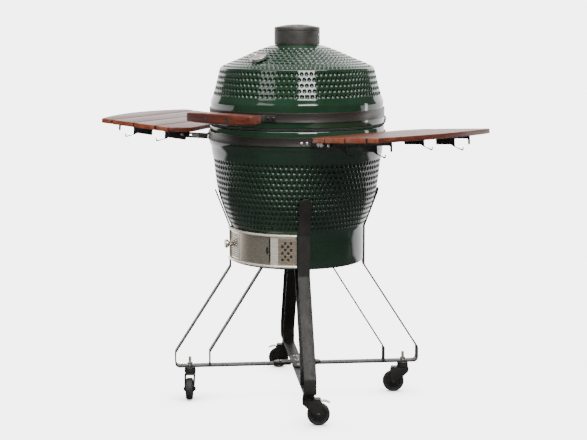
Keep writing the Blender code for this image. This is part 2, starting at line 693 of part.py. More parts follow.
def build_shelf(root, side, direction):
    out, height = SHELF_PIVOT
    bearing = make_pivot("shelf_bearing_" + side, root, (0, 0, 0), (0, 0, direction))
    pivot = make_pivot("shelf_fold_" + side, bearing, (out, 0, height), (0, -SHELF_TILT, 0))
    names = ("inner", "second", "third", "outer")
    for name, loop in zip(names, slat_loops()):
        full = "shelf_slat_%s_%s" % (side, name)
        mesh = outline_mesh(full, [loop], SLAT_UNDERSIDE, SLAT_UNDERSIDE + SLAT_THICKNESS)
        place(full, mesh, "wood", pivot)
    half_bar = BAR_THICKNESS / 2
    crossbar = outline_mesh("crossbar_" + side, [crossbar_loop()], -half_bar, half_bar)
    for end, along in (("low", -BAR_PLACE), ("high", BAR_PLACE)):
        where = end_name(side, along)
        bar = place("shelf_crossbar_%s_%s" % (side, where), crossbar, "black_steel", pivot,
                    (0, along, 0), (90, 0, 0))
        join_or_cut(bar, rod_cutter("pivot_hole_%s_%s" % (side, end), pivot, 0.0045, 0.02,
                                    (0, along, 0), (90, 0, 0)))
        build_shelf_bracket(bearing, side, where, along)


def end_name(side, along):
    # local +Y points back on the right shelf and forward on the left one
    backwards = along > 0 if side == "right" else along < 0
    return "back" if backwards else "front"


def build_shelf_bracket(bearing, side, where, along):
    # a strap on the band, bent out to carry the crossbar's pivot bolt
    sign = 1 if along > 0 else -1
    place_in = BAR_PLACE - 0.0045
    radius = BASE_BAND_RADIUS + GAP + 0.0017
    bend = math.degrees(math.asin(place_in / radius))
    flange = arc_points(radius, bend - 12, bend, 3)
    path = [(x, sign * y) for x, y in flange + [(SHELF_PIVOT[0] + 0.008, place_in)]]
    name = "shelf_bracket_%s_%s" % (side, where)
    mesh = outline_mesh(name, [strip_outline(path, 0.003)], 0.8975, 0.9165)
    bracket = place(name, mesh, "black_steel", bearing)
    out, height = SHELF_PIVOT
    slot = box_cutter("bracket_slot_" + name, bearing,
                      (0.285, sign * place_in - 0.01, 0.9035), (0.325, sign * place_in + 0.01, 0.9105))
    join_or_cut(bracket, slot)
    bolt = rod_cutter("bracket_bolt_" + name, bearing, 0.0040, 0.0100,
                      (out, sign * (place_in + 0.0040), height), (90, 0, 0))
    join_or_cut(bracket, bolt, "UNION")


def build_grill():
    root = make_pivot("grill_centre", None, (0, BODY_Y, 0))
    lid = make_pivot("lid_pivot", root, (0, HINGE_Y, HINGE_Z))
    build_base(root)
    build_lid(lid)
    build_bands(root, lid)
    build_fire_parts(root)
    build_vent(lid)
    build_thermometer(lid)
    build_handle(lid)
    build_hinge(root, lid)
    build_draft_door(root)
    build_cart(root)
    build_casters(root)
    build_shelf(root, "right", -SHELF_TURN)
    build_shelf(root, "left", 180 + SHELF_TURN)


clear_scene()
parts = make_collection("kamado_grill")
cutters = make_collection("cutters")
lid_offset = on_lid(0, 0, 0)
build_grill()
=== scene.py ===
# Looks of the kamado grill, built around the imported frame.
import json
import math
import random

import bmesh
import bpy
from mathutils import Matrix, Vector


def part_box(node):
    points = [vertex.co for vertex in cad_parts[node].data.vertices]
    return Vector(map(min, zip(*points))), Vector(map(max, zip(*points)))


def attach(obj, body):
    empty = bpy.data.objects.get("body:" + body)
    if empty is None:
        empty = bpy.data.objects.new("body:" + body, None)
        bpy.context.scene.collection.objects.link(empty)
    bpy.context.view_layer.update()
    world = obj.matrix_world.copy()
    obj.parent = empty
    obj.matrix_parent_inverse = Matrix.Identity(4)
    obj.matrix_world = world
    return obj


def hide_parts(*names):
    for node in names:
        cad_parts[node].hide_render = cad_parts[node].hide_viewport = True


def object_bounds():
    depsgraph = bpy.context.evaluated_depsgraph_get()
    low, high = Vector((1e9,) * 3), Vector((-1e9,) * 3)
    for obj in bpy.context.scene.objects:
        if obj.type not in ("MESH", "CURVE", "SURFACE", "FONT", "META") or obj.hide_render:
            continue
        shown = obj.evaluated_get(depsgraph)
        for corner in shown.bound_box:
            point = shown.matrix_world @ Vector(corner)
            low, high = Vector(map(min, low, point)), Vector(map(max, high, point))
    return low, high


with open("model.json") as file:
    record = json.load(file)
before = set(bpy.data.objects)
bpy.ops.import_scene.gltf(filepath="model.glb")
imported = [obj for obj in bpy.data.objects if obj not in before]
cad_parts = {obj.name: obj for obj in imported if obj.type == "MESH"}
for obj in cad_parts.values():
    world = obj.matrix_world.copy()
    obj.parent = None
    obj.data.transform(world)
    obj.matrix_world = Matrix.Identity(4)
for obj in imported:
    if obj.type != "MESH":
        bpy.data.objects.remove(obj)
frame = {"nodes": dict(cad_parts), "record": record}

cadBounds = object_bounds()
record = frame["record"]
joints = {joint["name"]: joint for joint in record["behaviour"]["joints"]}
mounts = {mount["name"]: mount for mount in record["mounts"]}
footLow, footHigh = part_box("ceramic_base")
bowlY = (footLow[1] + footHigh[1]) / 2      # the bowl's axis stands a little behind the origin
hingeSpot = Vector(joints["lid_hinge"]["pos_m"])
legNames = ("front_right", "back_right", "back_left", "front_left")
swivels = {leg: Vector(joints["swivel_" + leg]["pos_m"]) for leg in legNames}
toBowl = Matrix.Translation((0, bowlY, 0))
upright = Matrix(((1, 0, 0, 0), (0, 0, 1, 0), (0, 1, 0, 0), (0, 0, 0, 1)))      # XY outlines into XZ
print("frame loaded, bowl axis at y =", round(bowlY, 4))


# materials: noise, ramps and bump on Object coordinates

def newMaterial(name, colour, roughness, metallic=0.0, **sockets):
    material = bpy.data.materials.new(name)
    material.use_nodes = True
    shader = material.node_tree.nodes["Principled BSDF"]
    shader.inputs["Base Color"].default_value = (*colour, 1)
    shader.inputs["Roughness"].default_value = roughness
    shader.inputs["Metallic"].default_value = metallic
    for socket, value in sockets.items():
        shader.inputs[socket.replace("_", " ")].default_value = value
    return material


def noiseOn(material, scale, stretch=(1, 1, 1), detail=4.0, turn=(0, 0, 0), shift=None):
    # turned first and stretched after, so a grain can follow any direction
    tree = material.node_tree
    coords = tree.nodes.new("ShaderNodeTexCoord")
    turned = tree.nodes.new("ShaderNodeMapping")
    turned.inputs["Rotation"].default_value = turn
    stretched = tree.nodes.new("ShaderNodeMapping")
    stretched.inputs["Scale"].default_value = stretch
    noise = tree.nodes.new("ShaderNodeTexNoise")
    noise.inputs["Scale"].default_value = scale
    noise.inputs["Detail"].default_value = detail
    tree.links.new(coords.outputs["Object"], turned.inputs["Vector"])
    source = turned.outputs["Vector"]
    if shift:       # a number kept on the mesh moves the pattern from board to board
        tag = tree.nodes.new("ShaderNodeAttribute")
        tag.attribute_name = shift
        add = tree.nodes.new("ShaderNodeVectorMath")
        add.operation = "ADD"
        tree.links.new(source, add.inputs[0])
        tree.links.new(tag.outputs["Vector"], add.inputs[1])
        source = add.outputs["Vector"]
    tree.links.new(source, stretched.inputs["Vector"])
    tree.links.new(stretched.outputs["Vector"], noise.inputs["Vector"])
    return noise.outputs["Fac"]


def rampOn(material, source, stops):
    tree = material.node_tree
    ramp = tree.nodes.new("ShaderNodeValToRGB")
    while len(ramp.color_ramp.elements) < len(stops):
        ramp.color_ramp.elements.new(0.5)
    for element, (place, colour) in zip(ramp.color_ramp.elements, stops):
        element.position = place
        element.color = (*colour, 1)
    tree.links.new(source, ramp.inputs["Fac"])
    return ramp.outputs["Color"]


def mixOn(material, first, second, share, kind="MIX"):
    tree = material.node_tree
    mix = tree.nodes.new("ShaderNodeMix")
    mix.data_type = "RGBA"
    mix.blend_type = kind
    for socket, value in ((mix.inputs[0], share), (mix.inputs[6], first), (mix.inputs[7], second)):
        if isinstance(value, (int, float)):
            socket.default_value = value
        elif isinstance(value, tuple):
            socket.default_value = (*value, 1)
        else:
            tree.links.new(value, socket)
    return mix.outputs[2]


def setColour(material, source):
    shader = material.node_tree.nodes["Principled BSDF"]
    material.node_tree.links.new(source, shader.inputs["Base Color"])


def setRoughness(material, source, low, high):
    tree = material.node_tree
    spread = tree.nodes.new("ShaderNodeMapRange")
    spread.inputs["From Min"].default_value = 0.3
    spread.inputs["From Max"].default_value = 0.7
    spread.inputs["To Min"].default_value = low
    spread.inputs["To Max"].default_value = high
    tree.links.new(source, spread.inputs["Value"])
    shader = tree.nodes["Principled BSDF"]
    tree.links.new(spread.outputs["Result"], shader.inputs["Roughness"])


def setBump(material, heights, strength, distance):
    # heights are laid over each other, coarse first
    tree = material.node_tree
    last = None
    for height, share in heights:
        bump = tree.nodes.new("ShaderNodeBump")
        bump.inputs["Strength"].default_value = strength * share
        bump.inputs["Distance"].default_value = distance
        tree.links.new(height, bump.inputs["Height"])
        if last:
            tree.links.new(last, bump.inputs["Normal"])
        last = bump.outputs["Normal"]
    tree.links.new(last, tree.nodes["Principled BSDF"].inputs["Normal"])


def pitOn(material):
    tag = material.node_tree.nodes.new("ShaderNodeAttribute")
    tag.attribute_name = "pit"
    return tag.outputs["Fac"]


def makeGlaze():
    glaze = newMaterial("greenGlaze", (0.01, 0.03, 0.015), 0.06)
    cloud = noiseOn(glaze, 7, detail=5)
    pool = rampOn(glaze, cloud, [(0.35, (0.0060, 0.0200, 0.0095)), (0.68, (0.0110, 0.0330, 0.0160))])
    # painted shade: the glaze darkens with each pit's depth; its rim is a little lighter where the glaze
    # breaks
    pitShadeTone = rampOn(glaze, pitOn(glaze), [(0.0, (1, 1, 1)), (0.12, (1.7, 1.5, 1.4)),
                                           (0.25, (0.7, 0.75, 0.7)), (1.0, (0.25, 0.3, 0.25))])
    toned = mixOn(glaze, pool, pitShadeTone, 1.0, "MULTIPLY")
    speck = rampOn(glaze, noiseOn(glaze, 420, detail=2), [(0.69, (1, 1, 1)), (0.76, (0.45, 0.4, 0.3))])
    setColour(glaze, mixOn(glaze, toned, speck, 0.6, "MULTIPLY"))
    setRoughness(glaze, noiseOn(glaze, 22, detail=3), 0.05, 0.10)
    waves, grain = noiseOn(glaze, 26, detail=2), noiseOn(glaze, 160, detail=2)
    setBump(glaze, [(waves, 1.0), (grain, 0.25)], 0.10, 0.002)
    return glaze


def makeWood(name, turn):
    # the grain runs along Y once the coordinates are turned
    wood = newMaterial(name, (0.2, 0.05, 0.02), 0.45, Coat_Weight=0.12, Coat_Roughness=0.25,
                       Specular_IOR_Level=0.30)
    broad = noiseOn(wood, 9, (9, 0.55, 9), 5, turn, "board")
    lines = noiseOn(wood, 60, (6, 0.10, 6), 4, turn, "board")
    pores = noiseOn(wood, 170, (5, 0.06, 5), 3, turn, "board")
    heart = rampOn(wood, broad, [(0.30, (0.048, 0.0085, 0.0045)), (0.48, (0.090, 0.018, 0.0085)),
                                 (0.62, (0.130, 0.029, 0.013)), (0.78, (0.175, 0.048, 0.021))])
    streak = rampOn(wood, lines, [(0.38, (0.68, 0.60, 0.56)), (0.56, (1, 1, 1))])
    dark = rampOn(wood, pores, [(0.30, (0.30, 0.22, 0.20)), (0.40, (1, 1, 1))])
    grain = mixOn(wood, mixOn(wood, heart, streak, 0.75, "MULTIPLY"), dark, 0.7, "MULTIPLY")
    setColour(wood, grain)
    setRoughness(wood, lines, 0.36, 0.56)
    setBump(wood, [(lines, 0.6), (pores, 1.0)], 0.22, 0.0006)
    return wood


def makeBlackSteel():
    steel = newMaterial("blackSteel", (0.022, 0.022, 0.021), 0.5, Specular_IOR_Level=0.28)
    cloud = noiseOn(steel, 14, detail=6)
    tone = rampOn(steel, cloud, [(0.35, (0.016, 0.0148, 0.0134)), (0.7, (0.034, 0.031, 0.0275))])
    setColour(steel, tone)
    setRoughness(steel, noiseOn(steel, 70, detail=4), 0.42, 0.60)
    setBump(steel, [(noiseOn(steel, 900, detail=2), 1.0)], 0.18, 0.0003)
    return steel


def makeBandSteel():
    band = newMaterial("bandSteel", (0.05, 0.045, 0.04), 0.36, 0.6)
    rub = noiseOn(band, 60, (0.25, 0.25, 26), 4)
    setColour(band, rampOn(band, rub, [(0.3, (0.034, 0.030, 0.027)), (0.7, (0.062, 0.056, 0.050))]))
    setRoughness(band, rub, 0.28, 0.46)
    setBump(band, [(rub, 1.0), (noiseOn(band, 500, detail=2), 0.5)], 0.08, 0.0003)
    return band


def makeStainless(name, dark, light, metallic):
    steel = newMaterial(name, light, 0.26, metallic)
    brushed = noiseOn(steel, 90, (0.5, 0.5, 30), 5)
    stain = noiseOn(steel, 7, detail=4)
    tone = rampOn(steel, brushed, [(0.3, dark), (0.7, light)])
    warm = rampOn(steel, stain, [(0.45, (1, 1, 1)), (0.85, (0.88, 0.82, 0.72))])
    setColour(steel, mixOn(steel, tone, warm, 0.5, "MULTIPLY"))
    setRoughness(steel, brushed, 0.20, 0.36)
    setBump(steel, [(brushed, 1.0)], 0.08, 0.0002)
    return steel


def makeZinc():
    zinc = newMaterial("zincPlate", (0.60, 0.59, 0.56), 0.34, 1.0)
    spangle = noiseOn(zinc, 140, detail=5)
    setColour(zinc, rampOn(zinc, spangle, [(0.35, (0.42, 0.41, 0.38)), (0.65, (0.70, 0.69, 0.66))]))
    setRoughness(zinc, spangle, 0.22, 0.48)
    setBump(zinc, [(noiseOn(zinc, 500, detail=3), 1.0)], 0.08, 0.0003)
    return zinc


def makeCastIron():
    iron = newMaterial("castIron", (0.03, 0.028, 0.025), 0.5, 0.3)
    cloud = noiseOn(iron, 30, detail=6)
    setColour(iron, rampOn(iron, cloud, [(0.3, (0.022, 0.020, 0.018)), (0.7, (0.045, 0.041, 0.037))]))
    setRoughness(iron, noiseOn(iron, 120, detail=4), 0.42, 0.62)
    coarse, fine = noiseOn(iron, 260, detail=4), noiseOn(iron, 900, detail=2)
    setBump(iron, [(coarse, 1.0), (fine, 0.5)], 0.22, 0.0006)
    return iron


def makeRubber(name, low, high, scuff):
    rubber = newMaterial(name, (0.02, 0.02, 0.019), 0.55)
    wear = noiseOn(rubber, 90, detail=6)
    tone = rampOn(rubber, wear, [(0.35, (0.012, 0.012, 0.0115)), (0.62, (0.024, 0.024, 0.022)),
                                 (0.8, scuff)])
    setColour(rubber, tone)
    setRoughness(rubber, wear, low, high)
    setBump(rubber, [(noiseOn(rubber, 500, detail=3), 1.0)], 0.15, 0.0004)
    return rubber


def makeFelt():
    felt = newMaterial("blackFelt", (0.012, 0.012, 0.012), 0.95)
    fuzz = noiseOn(felt, 700, (1, 1, 1), 6)
    setColour(felt, rampOn(felt, fuzz, [(0.3, (0.006, 0.006, 0.006)), (0.75, (0.030, 0.029, 0.028))]))
    setBump(felt, [(fuzz, 1.0)], 0.7, 0.0010)
    return felt


def makeClay():
    clay = newMaterial("fireClay", (0.6, 0.5, 0.4), 0.85)
    grit = noiseOn(clay, 240, detail=5)
    tone = rampOn(clay, grit, [(0.3, (0.42, 0.34, 0.26)), (0.55, (0.60, 0.51, 0.41)),
                               (0.75, (0.70, 0.62, 0.52))])
    soot = rampOn(clay, noiseOn(clay, 9, detail=6), [(0.42, (0.30, 0.27, 0.24)), (0.66, (1, 1, 1))])
    setColour(clay, mixOn(clay, tone, soot, 0.7, "MULTIPLY"))
    setBump(clay, [(grit, 1.0)], 0.5, 0.0012)
    return clay


def makePaint(name, dark, light, roughness, metallic=0.0):
    paint = newMaterial(name, light, roughness, metallic)
    cloud = noiseOn(paint, 60, detail=5)
    setColour(paint, rampOn(paint, cloud, [(0.3, dark), (0.65, light)]))
    setRoughness(paint, noiseOn(paint, 200, detail=3), roughness * 0.8, roughness * 1.25)
    return paint


glaze = makeGlaze()
blackSteel = makeBlackSteel()
bandSteel = makeBandSteel()
stainless = makeStainless("brushedStainless", (0.60, 0.545, 0.46), (0.76, 0.70, 0.60), 1.0)
doorSteel = makeStainless("doorStainless", (0.42, 0.375, 0.31), (0.54, 0.49, 0.41), 0.9)
# a lighter copy of the stainless: painted highlight on the draft frame's rolled lips and end panel
lipHighlightSteel = makeStainless("paintedHighlightStainless", (0.78, 0.72, 0.62), (0.92, 0.87, 0.77), 0.5)
punchedSteel = makeStainless("punchedStainless", (0.46, 0.37, 0.27), (0.62, 0.52, 0.40), 0.8)
zinc = makeZinc()
castIron = makeCastIron()
tyreRubber = makeRubber("tyreRubber", 0.50, 0.75, (0.050, 0.048, 0.044))
hubPlastic = makeRubber("hubPlastic", 0.30, 0.45, (0.034, 0.033, 0.031))
felt = makeFelt()
clay = makeClay()
dialWhite = makePaint("dialWhite", (0.26, 0.255, 0.24), (0.31, 0.305, 0.29), 0.5)
dialInk = makePaint("dialInk", (0.015, 0.015, 0.015), (0.030, 0.029, 0.028), 0.4)
needleRed = makePaint("needleRed", (0.30, 0.02, 0.012), (0.40, 0.035, 0.02), 0.35)
# painted shade for the board sides along the gaps between the boards
paintedGapShade = makePaint("paintedGapShade", (0.020, 0.006, 0.004), (0.034, 0.010, 0.006), 0.5)
endGrain = makePaint("endGrain", (0.16, 0.035, 0.013), (0.27, 0.070, 0.026), 0.42)
# near black that stands in for shade: behind the punched plate and in the door pull's dish
paintedShadeBlack = makePaint("paintedShadeBlack", (0.006, 0.006, 0.006), (0.012, 0.012, 0.011), 0.7)
woods = {"handle": makeWood("handleWood", (0, 0, math.radians(90)))}
for side in ("right", "left"):
    foldAxis = joints["shelf_%s_fold" % side]["axis"]
    woods[side] = makeWood(side + "ShelfWood", (0, 0, math.atan2(foldAxis[0], foldAxis[1])))
print("materials made")


# mesh tools

def newPiece(name, bm, body, material, replaced=(), place=None, smooth=40, extra=()):
    # place moves the mesh, so the object itself stays at the origin
    if place is not None:
        bmesh.ops.transform(bm, matrix=place, verts=bm.verts)
        if place.determinant() < 0:
            bmesh.ops.reverse_faces(bm, faces=bm.faces)
    mesh = bpy.data.meshes.new(name)
    bm.to_mesh(mesh)
    bm.free()
    mesh.shade_smooth()
    mesh.set_sharp_from_angle(angle=math.radians(smooth))
    piece = bpy.data.objects.new(name, mesh)
    bpy.context.scene.collection.objects.link(piece)
    for finish in (material, *extra):
        mesh.materials.append(finish)
    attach(piece, body)
    if replaced:
        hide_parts(*replaced)
    return piece


def cleanUp(bm, distance=0.00001):
    bmesh.ops.remove_doubles(bm, verts=bm.verts, dist=distance)
    bmesh.ops.recalc_face_normals(bm, faces=bm.faces)


def addSpin(bm, profile, steps, closed=True, start=0.0, sweep=360.0):
    # a profile of (radius, height) points turned about Z; a part turn gets its ends filled
    points = [bm.verts.new((radius, 0, height)) for radius, height in profile]
    edges = [bm.edges.new(pair) for pair in zip(points, points[1:])]
    if closed:
        edges.append(bm.edges.new((points[-1], points[0])))
    bmesh.ops.rotate(bm, verts=points, matrix=Matrix.Rotation(math.radians(start), 3, "Z"))
    full = abs(sweep) >= 360
    bmesh.ops.spin(bm, geom=points + edges, axis=(0, 0, 1), cent=(0, 0, 0), steps=steps,
                   angle=math.radians(sweep), use_merge=full, use_duplicate=False)
    if not full:
        rims = [edge for edge in bm.edges if edge.is_boundary]
        bmesh.ops.holes_fill(bm, edges=rims, sides=0)


def addTurned(bm, profile, steps, place=None, closed=False):
    # a turned piece in its own small mesh, moved to its place and added
    part = bmesh.new()
    addSpin(part, profile, steps, closed)
    cleanUp(part)
    addPart(bm, part, place)


def addPart(bm, part, place=None, index=0):
    if place is not None:
        bmesh.ops.transform(part, matrix=place, verts=part.verts)
    for face in part.faces:
        face.material_index = index
    mesh = bpy.data.meshes.new("part")
    part.to_mesh(mesh)
    part.free()
    bm.from_mesh(mesh)
    bpy.data.meshes.remove(mesh)


def addPlate(bm, outline, low, high, place=None, edge=0.0, index=0):
    # a flat outline in XY given a thickness, with its edges taken off
    part = bmesh.new()
    face = part.faces.new([part.verts.new((x, y, low)) for x, y in outline])
    raised = bmesh.ops.extrude_face_region(part, geom=[face])
    tops = [item for item in raised["geom"] if isinstance(item, bmesh.types.BMVert)]
    bmesh.ops.translate(part, vec=(0, 0, high - low), verts=tops)
    bmesh.ops.recalc_face_normals(part, faces=part.faces)
    if edge:
        rims = [item for item in part.edges if item.calc_face_angle(0) > math.radians(50)]
        bmesh.ops.bevel(part, geom=rims, offset=edge, segments=2, profile=0.5, affect="EDGES",
                        clamp_overlap=True, material=-1)
    addPart(bm, part, place, index)


def addBox(bm, low, high, place=None, edge=0.0, index=0):
    outline = [(low[0], low[1]), (high[0], low[1]), (high[0], high[1]), (low[0], high[1])]
    addPlate(bm, outline, low[2], high[2], place, edge, index)


def aim(spot, direction):
    # a frame at spot whose Z looks along direction
    turn = Vector(direction).to_track_quat("Z", "Y").to_matrix().to_4x4()
    return Matrix.Translation(spot) @ turn


def addBolt(bm, spot, direction, radius=0.0055, height=0.004, hexagon=False, index=0):
    part = bmesh.new()
    if hexagon:
        bmesh.ops.create_cone(part, cap_ends=True, segments=6, radius1=radius, radius2=radius,
                              depth=height)
        bmesh.ops.translate(part, vec=(0, 0, height / 2), verts=part.verts)
        rims = [item for item in part.edges if item.calc_face_angle(0) > math.radians(50)]
        bmesh.ops.bevel(part, geom=rims, offset=radius * 0.08, segments=2, profile=0.5,
                        affect="EDGES", material=-1)
    else:       # a dome head with a socket in its middle
        profile = [(0, height * 0.45), (radius * 0.32, height * 0.45), (radius * 0.36, height * 0.97),
                   (radius * 0.62, height * 0.86), (radius * 0.86, height * 0.55),
                   (radius, height * 0.18), (radius, -0.0005), (0, -0.0005)]
        addSpin(part, profile, 20, closed=False)
        cleanUp(part)
    addPart(bm, part, aim(spot, direction), index)


def roundedPath(points, radius, steps=5):
    # a polyline whose corners are turned into arcs of about the given radius
    path = [Vector(points[0])]
    for before, corner, after in zip(points, points[1:], points[2:]):
        before, corner, after = Vector(before), Vector(corner), Vector(after)
        incoming = (corner - before).normalized()
        outgoing = (after - corner).normalized()
        reach = radius * math.tan(incoming.angle(outgoing) / 2)
        first, last = corner - incoming * reach, corner + outgoing * reach
        for i in range(steps + 1):
            t = i / steps
            path.append(first * (1 - t) ** 2 + corner * 2 * t * (1 - t) + last * t ** 2)
    path.append(Vector(points[-1]))
    return path


def addRibbon(bm, path, width, roundStart=False, steps=6):
    # a strip that follows a path in XZ, with its width along Y; a start can be a half circle
    half = width / 2
    path = [Vector((point[0], 0, point[1])) for point in path]
    rungs = [(path[0], half)]
    if roundStart:
        along = (path[1] - path[0]).normalized()
        rungs = []
        for i in range(steps + 1):
            angle = math.radians(8 + 82 * i / steps)
            rungs.append((path[0] + along * half * (1 - math.cos(angle)), half * math.sin(angle)))
    rungs += [(point, half) for point in path[1:]]
    spot, reach = rungs[0]
    left = bm.verts.new(spot + Vector((0, -reach, 0)))
    right = bm.verts.new(spot + Vector((0, reach, 0)))
    edge = bm.edges.new((left, right))
    for spot, reach in rungs[1:]:
        grown = bmesh.ops.extrude_edge_only(bm, edges=[edge])["geom"]
        edge = [item for item in grown if isinstance(item, bmesh.types.BMEdge)][0]
        for vert in edge.verts:
            side = 1 if vert.co.y > 0 else -1
            vert.co = spot + Vector((0, side * reach, 0))


def addThickness(piece, thickness, edge=0.0006, offset=0.0):
    wall = piece.modifiers.new("thickness", "SOLIDIFY")
    wall.thickness = thickness
    wall.offset = offset
    wall.use_even_offset = True
    if edge:
        addEdges(piece, edge)


def addEdges(piece, width, segments=2, angle=40):
    rounding = piece.modifiers.new("edges", "BEVEL")
    rounding.width = width
    rounding.segments = segments
    rounding.limit_method = "ANGLE"
    rounding.angle_limit = math.radians(angle)
    rounding.harden_normals = False


def around(angle, radius, z):
    # a place round the bowl; the angle counts from the front (-Y) towards +X
    turn = math.radians(angle)
    return Vector((radius * math.sin(turn), -radius * math.cos(turn), z))


def outward(angle, rise=0.0):
    turn = math.radians(angle)
    return Vector((math.sin(turn), -math.cos(turn), rise)).normalized()


# glazed shells with pressed pits

pits = {"pitch": 0.0174, "radius": 0.0075, "depth": 0.0041, "snap": 0.15, "around": 106}


def curvedLine(points, perSpan=8):
    # a smooth line through a few points
    padded = [points[0]] + list(points) + [points[-1]]
    line = []
    for a, b, c, d in zip(padded, padded[1:], padded[2:], padded[3:]):
        for i in range(perSpan):
            t = i / perSpan
            line.append(tuple(0.5 * (2 * b[k] + (c[k] - a[k]) * t
                                     + (2 * a[k] - 5 * b[k] + 4 * c[k] - d[k]) * t * t
                                     + (3 * b[k] - a[k] - 3 * c[k] + d[k]) * t ** 3) for k in (0, 1)))
    line.append(tuple(points[-1]))
    return line


def evenPlaces(line, count):
    # evenly spaced places along a line, and the line's length
    lengths = [0.0]
    for first, second in zip(line, line[1:]):
        lengths.append(lengths[-1] + math.dist(first, second))
    places = []
    k = 0
    for i in range(count + 1):
        target = lengths[-1] * i / count
        while k < len(line) - 2 and lengths[k + 1] < target:
            k += 1
        share = (target - lengths[k]) / (lengths[k + 1] - lengths[k])
        places.append([line[k][axis] + share * (line[k + 1][axis] - line[k][axis]) for axis in (0, 1)])
    return places, lengths[-1]


def addShell(bm, zones, perPitch):
    # zones follow each other round the section; a pitted zone's points remember their row and slope
    row = bm.verts.layers.float.new("row")
    slope = bm.verts.layers.float.new("slope")
    section = []
    for zone in zones:
        if not zone["rows"]:
            section += [(r, z, 0, 0) for r, z in zone["points"]]
            continue
        count = zone["rows"] * perPitch
        places = evenPlaces(curvedLine(zone["points"]), count)[0]
        for i, (r, z) in enumerate(places):
            before, after = places[max(i - 1, 0)], places[min(i + 1, count)]
            lean = math.atan2(after[1] - before[1], after[0] - before[0])
            section.append((r, z, 1 + zone["rows"] * i / count, lean))
    points = []
    for r, z, place, lean in section:
        vert = bm.verts.new((r, 0, z))
        vert[row] = place
        vert[slope] = lean
        points.append(vert)
    edges = [bm.edges.new(pair) for pair in zip(points, points[1:])]
    edges.append(bm.edges.new((points[-1], points[0])))
    bmesh.ops.spin(bm, geom=points + edges, axis=(0, 0, 1), cent=(0, 0, 0),
                   steps=pits["around"] * perPitch, angle=math.radians(360), use_merge=True,
                   use_duplicate=False)
    return row, slope


def pressPits(bm, layers, rowHeight):
    # each pit is a round bowl with a crisp rim; every other row steps sideways by half a pitch
    row, slope = layers
    pitLayer = bm.verts.layers.float.new("pit")
    radius, depth, snap = pits["radius"], pits["depth"], pits["snap"]
    ball = (radius ** 2 + depth ** 2) / (2 * depth)
    for vert in bm.verts:
        if vert[row] <= 0:
            continue
        place = min(vert[row] - 1, vert[row])
        number = int(place)
        r = math.hypot(vert.co.x, vert.co.y)
        angle = math.atan2(vert.co.y, vert.co.x)
        count = pits["around"] if r > 0.225 else max(6, round(2 * math.pi * r / pits["pitch"]))
        turn = angle / (2 * math.pi) * count - 0.5 * (number % 2)
        sideways = (turn - round(turn)) * 2 * math.pi * r / count
        along = (place - number - 0.5) * rowHeight
        size = min(1.0, 2 * math.pi * r / count / pits["pitch"] * 1.02)
        away = math.hypot(sideways, along) / (radius * size)
        lean = vert[slope]
        sine, cosine = math.sin(angle), math.cos(angle)
        across = Vector((-sine, cosine, 0))
        down = Vector((math.cos(lean) * cosine, math.cos(lean) * sine, math.sin(lean)))
        normal = Vector((-math.sin(lean) * cosine, -math.sin(lean) * sine, math.cos(lean)))
        if abs(away - 1) < snap:        # onto the rim
            vert.co += (across * sideways + down * along) * (1 / away - 1)
            vert[pitLayer] = 0.12
        elif away < 1:
            deep = math.sqrt(ball ** 2 - (away * radius) ** 2) - (ball - depth)
            vert.co -= normal * deep * size
            # the depth also darkens the glaze there as painted shade
            vert[pitLayer] = 0.2 + 0.8 * deep / depth


lidShape = {"neck": [(0.0555, 1.2115), (0.0575, 1.2135), (0.0800, 1.2130), (0.0930, 1.2098),
                     (0.1000, 1.2072)],
            "dome": [(0.1050, 1.2052), (0.1360, 1.1935), (0.1720, 1.1780), (0.2040, 1.1640),
                     (0.2380, 1.1500), (0.2578, 1.1398)],
            "crease": [(0.2592, 1.1388), (0.2602, 1.1374)],
            "domeInner": [(0.2360, 1.1140), (0.2150, 1.1320), (0.1500, 1.1600), (0.1000, 1.1790),
                          (0.0555, 1.1870)],
            "wall": [(0.2610, 1.1350), (0.2660, 1.1150), (0.2708, 1.0950), (0.2765, 1.0740),
                     (0.2843, 1.0460)],
            "flare": [(0.2863, 1.0413), (0.2886, 1.0358), (0.2905, 1.0312), (0.29145, 1.0285),
                      (0.29185, 1.0264), (0.29210, 1.0240), (0.2922, 1.0220),
                      (0.2924, 1.0120), (0.2927, 1.0000), (0.2932, 0.9750), (0.2938, 0.9600),
                      (0.2930, 0.9545), (0.2905, 0.9532)],
            "wallInner": [(0.2720, 0.9532), (0.2690, 0.9700), (0.2660, 1.0050), (0.2560, 1.0550),
                          (0.2450, 1.0900), (0.2360, 1.1140)],
            "domeRows": 9, "wallRows": 5}


def rowHeightOf(points, rows):
    return evenPlaces(curvedLine(points), 1)[1] / rows


def buildLid():
    # two pieces meet at the crease: the dome and the steep wall below it
    shape = lidShape
    bm = bmesh.new()
    zones = [{"rows": 0, "points": shape["neck"]},
             {"rows": shape["domeRows"], "points": shape["dome"]},
             {"rows": 0, "points": shape["crease"] + shape["domeInner"]}]
    pressPits(bm, addShell(bm, zones, 8), rowHeightOf(shape["dome"], shape["domeRows"]))
    cleanUp(bm)
    newPiece("glazedDome", bm, "lid", glaze, ["ceramic_lid"], toBowl, 34)
    bm = bmesh.new()
    zones = [{"rows": 0, "points": shape["wallInner"] + shape["crease"][1:]},
             {"rows": shape["wallRows"], "points": shape["wall"]},
             {"rows": 0, "points": shape["flare"]}]
    pressPits(bm, addShell(bm, zones, 10), rowHeightOf(shape["wall"], shape["wallRows"]))
    cleanUp(bm)
    newPiece("glazedLidWall", bm, "lid", glaze, place=toBowl, smooth=34)


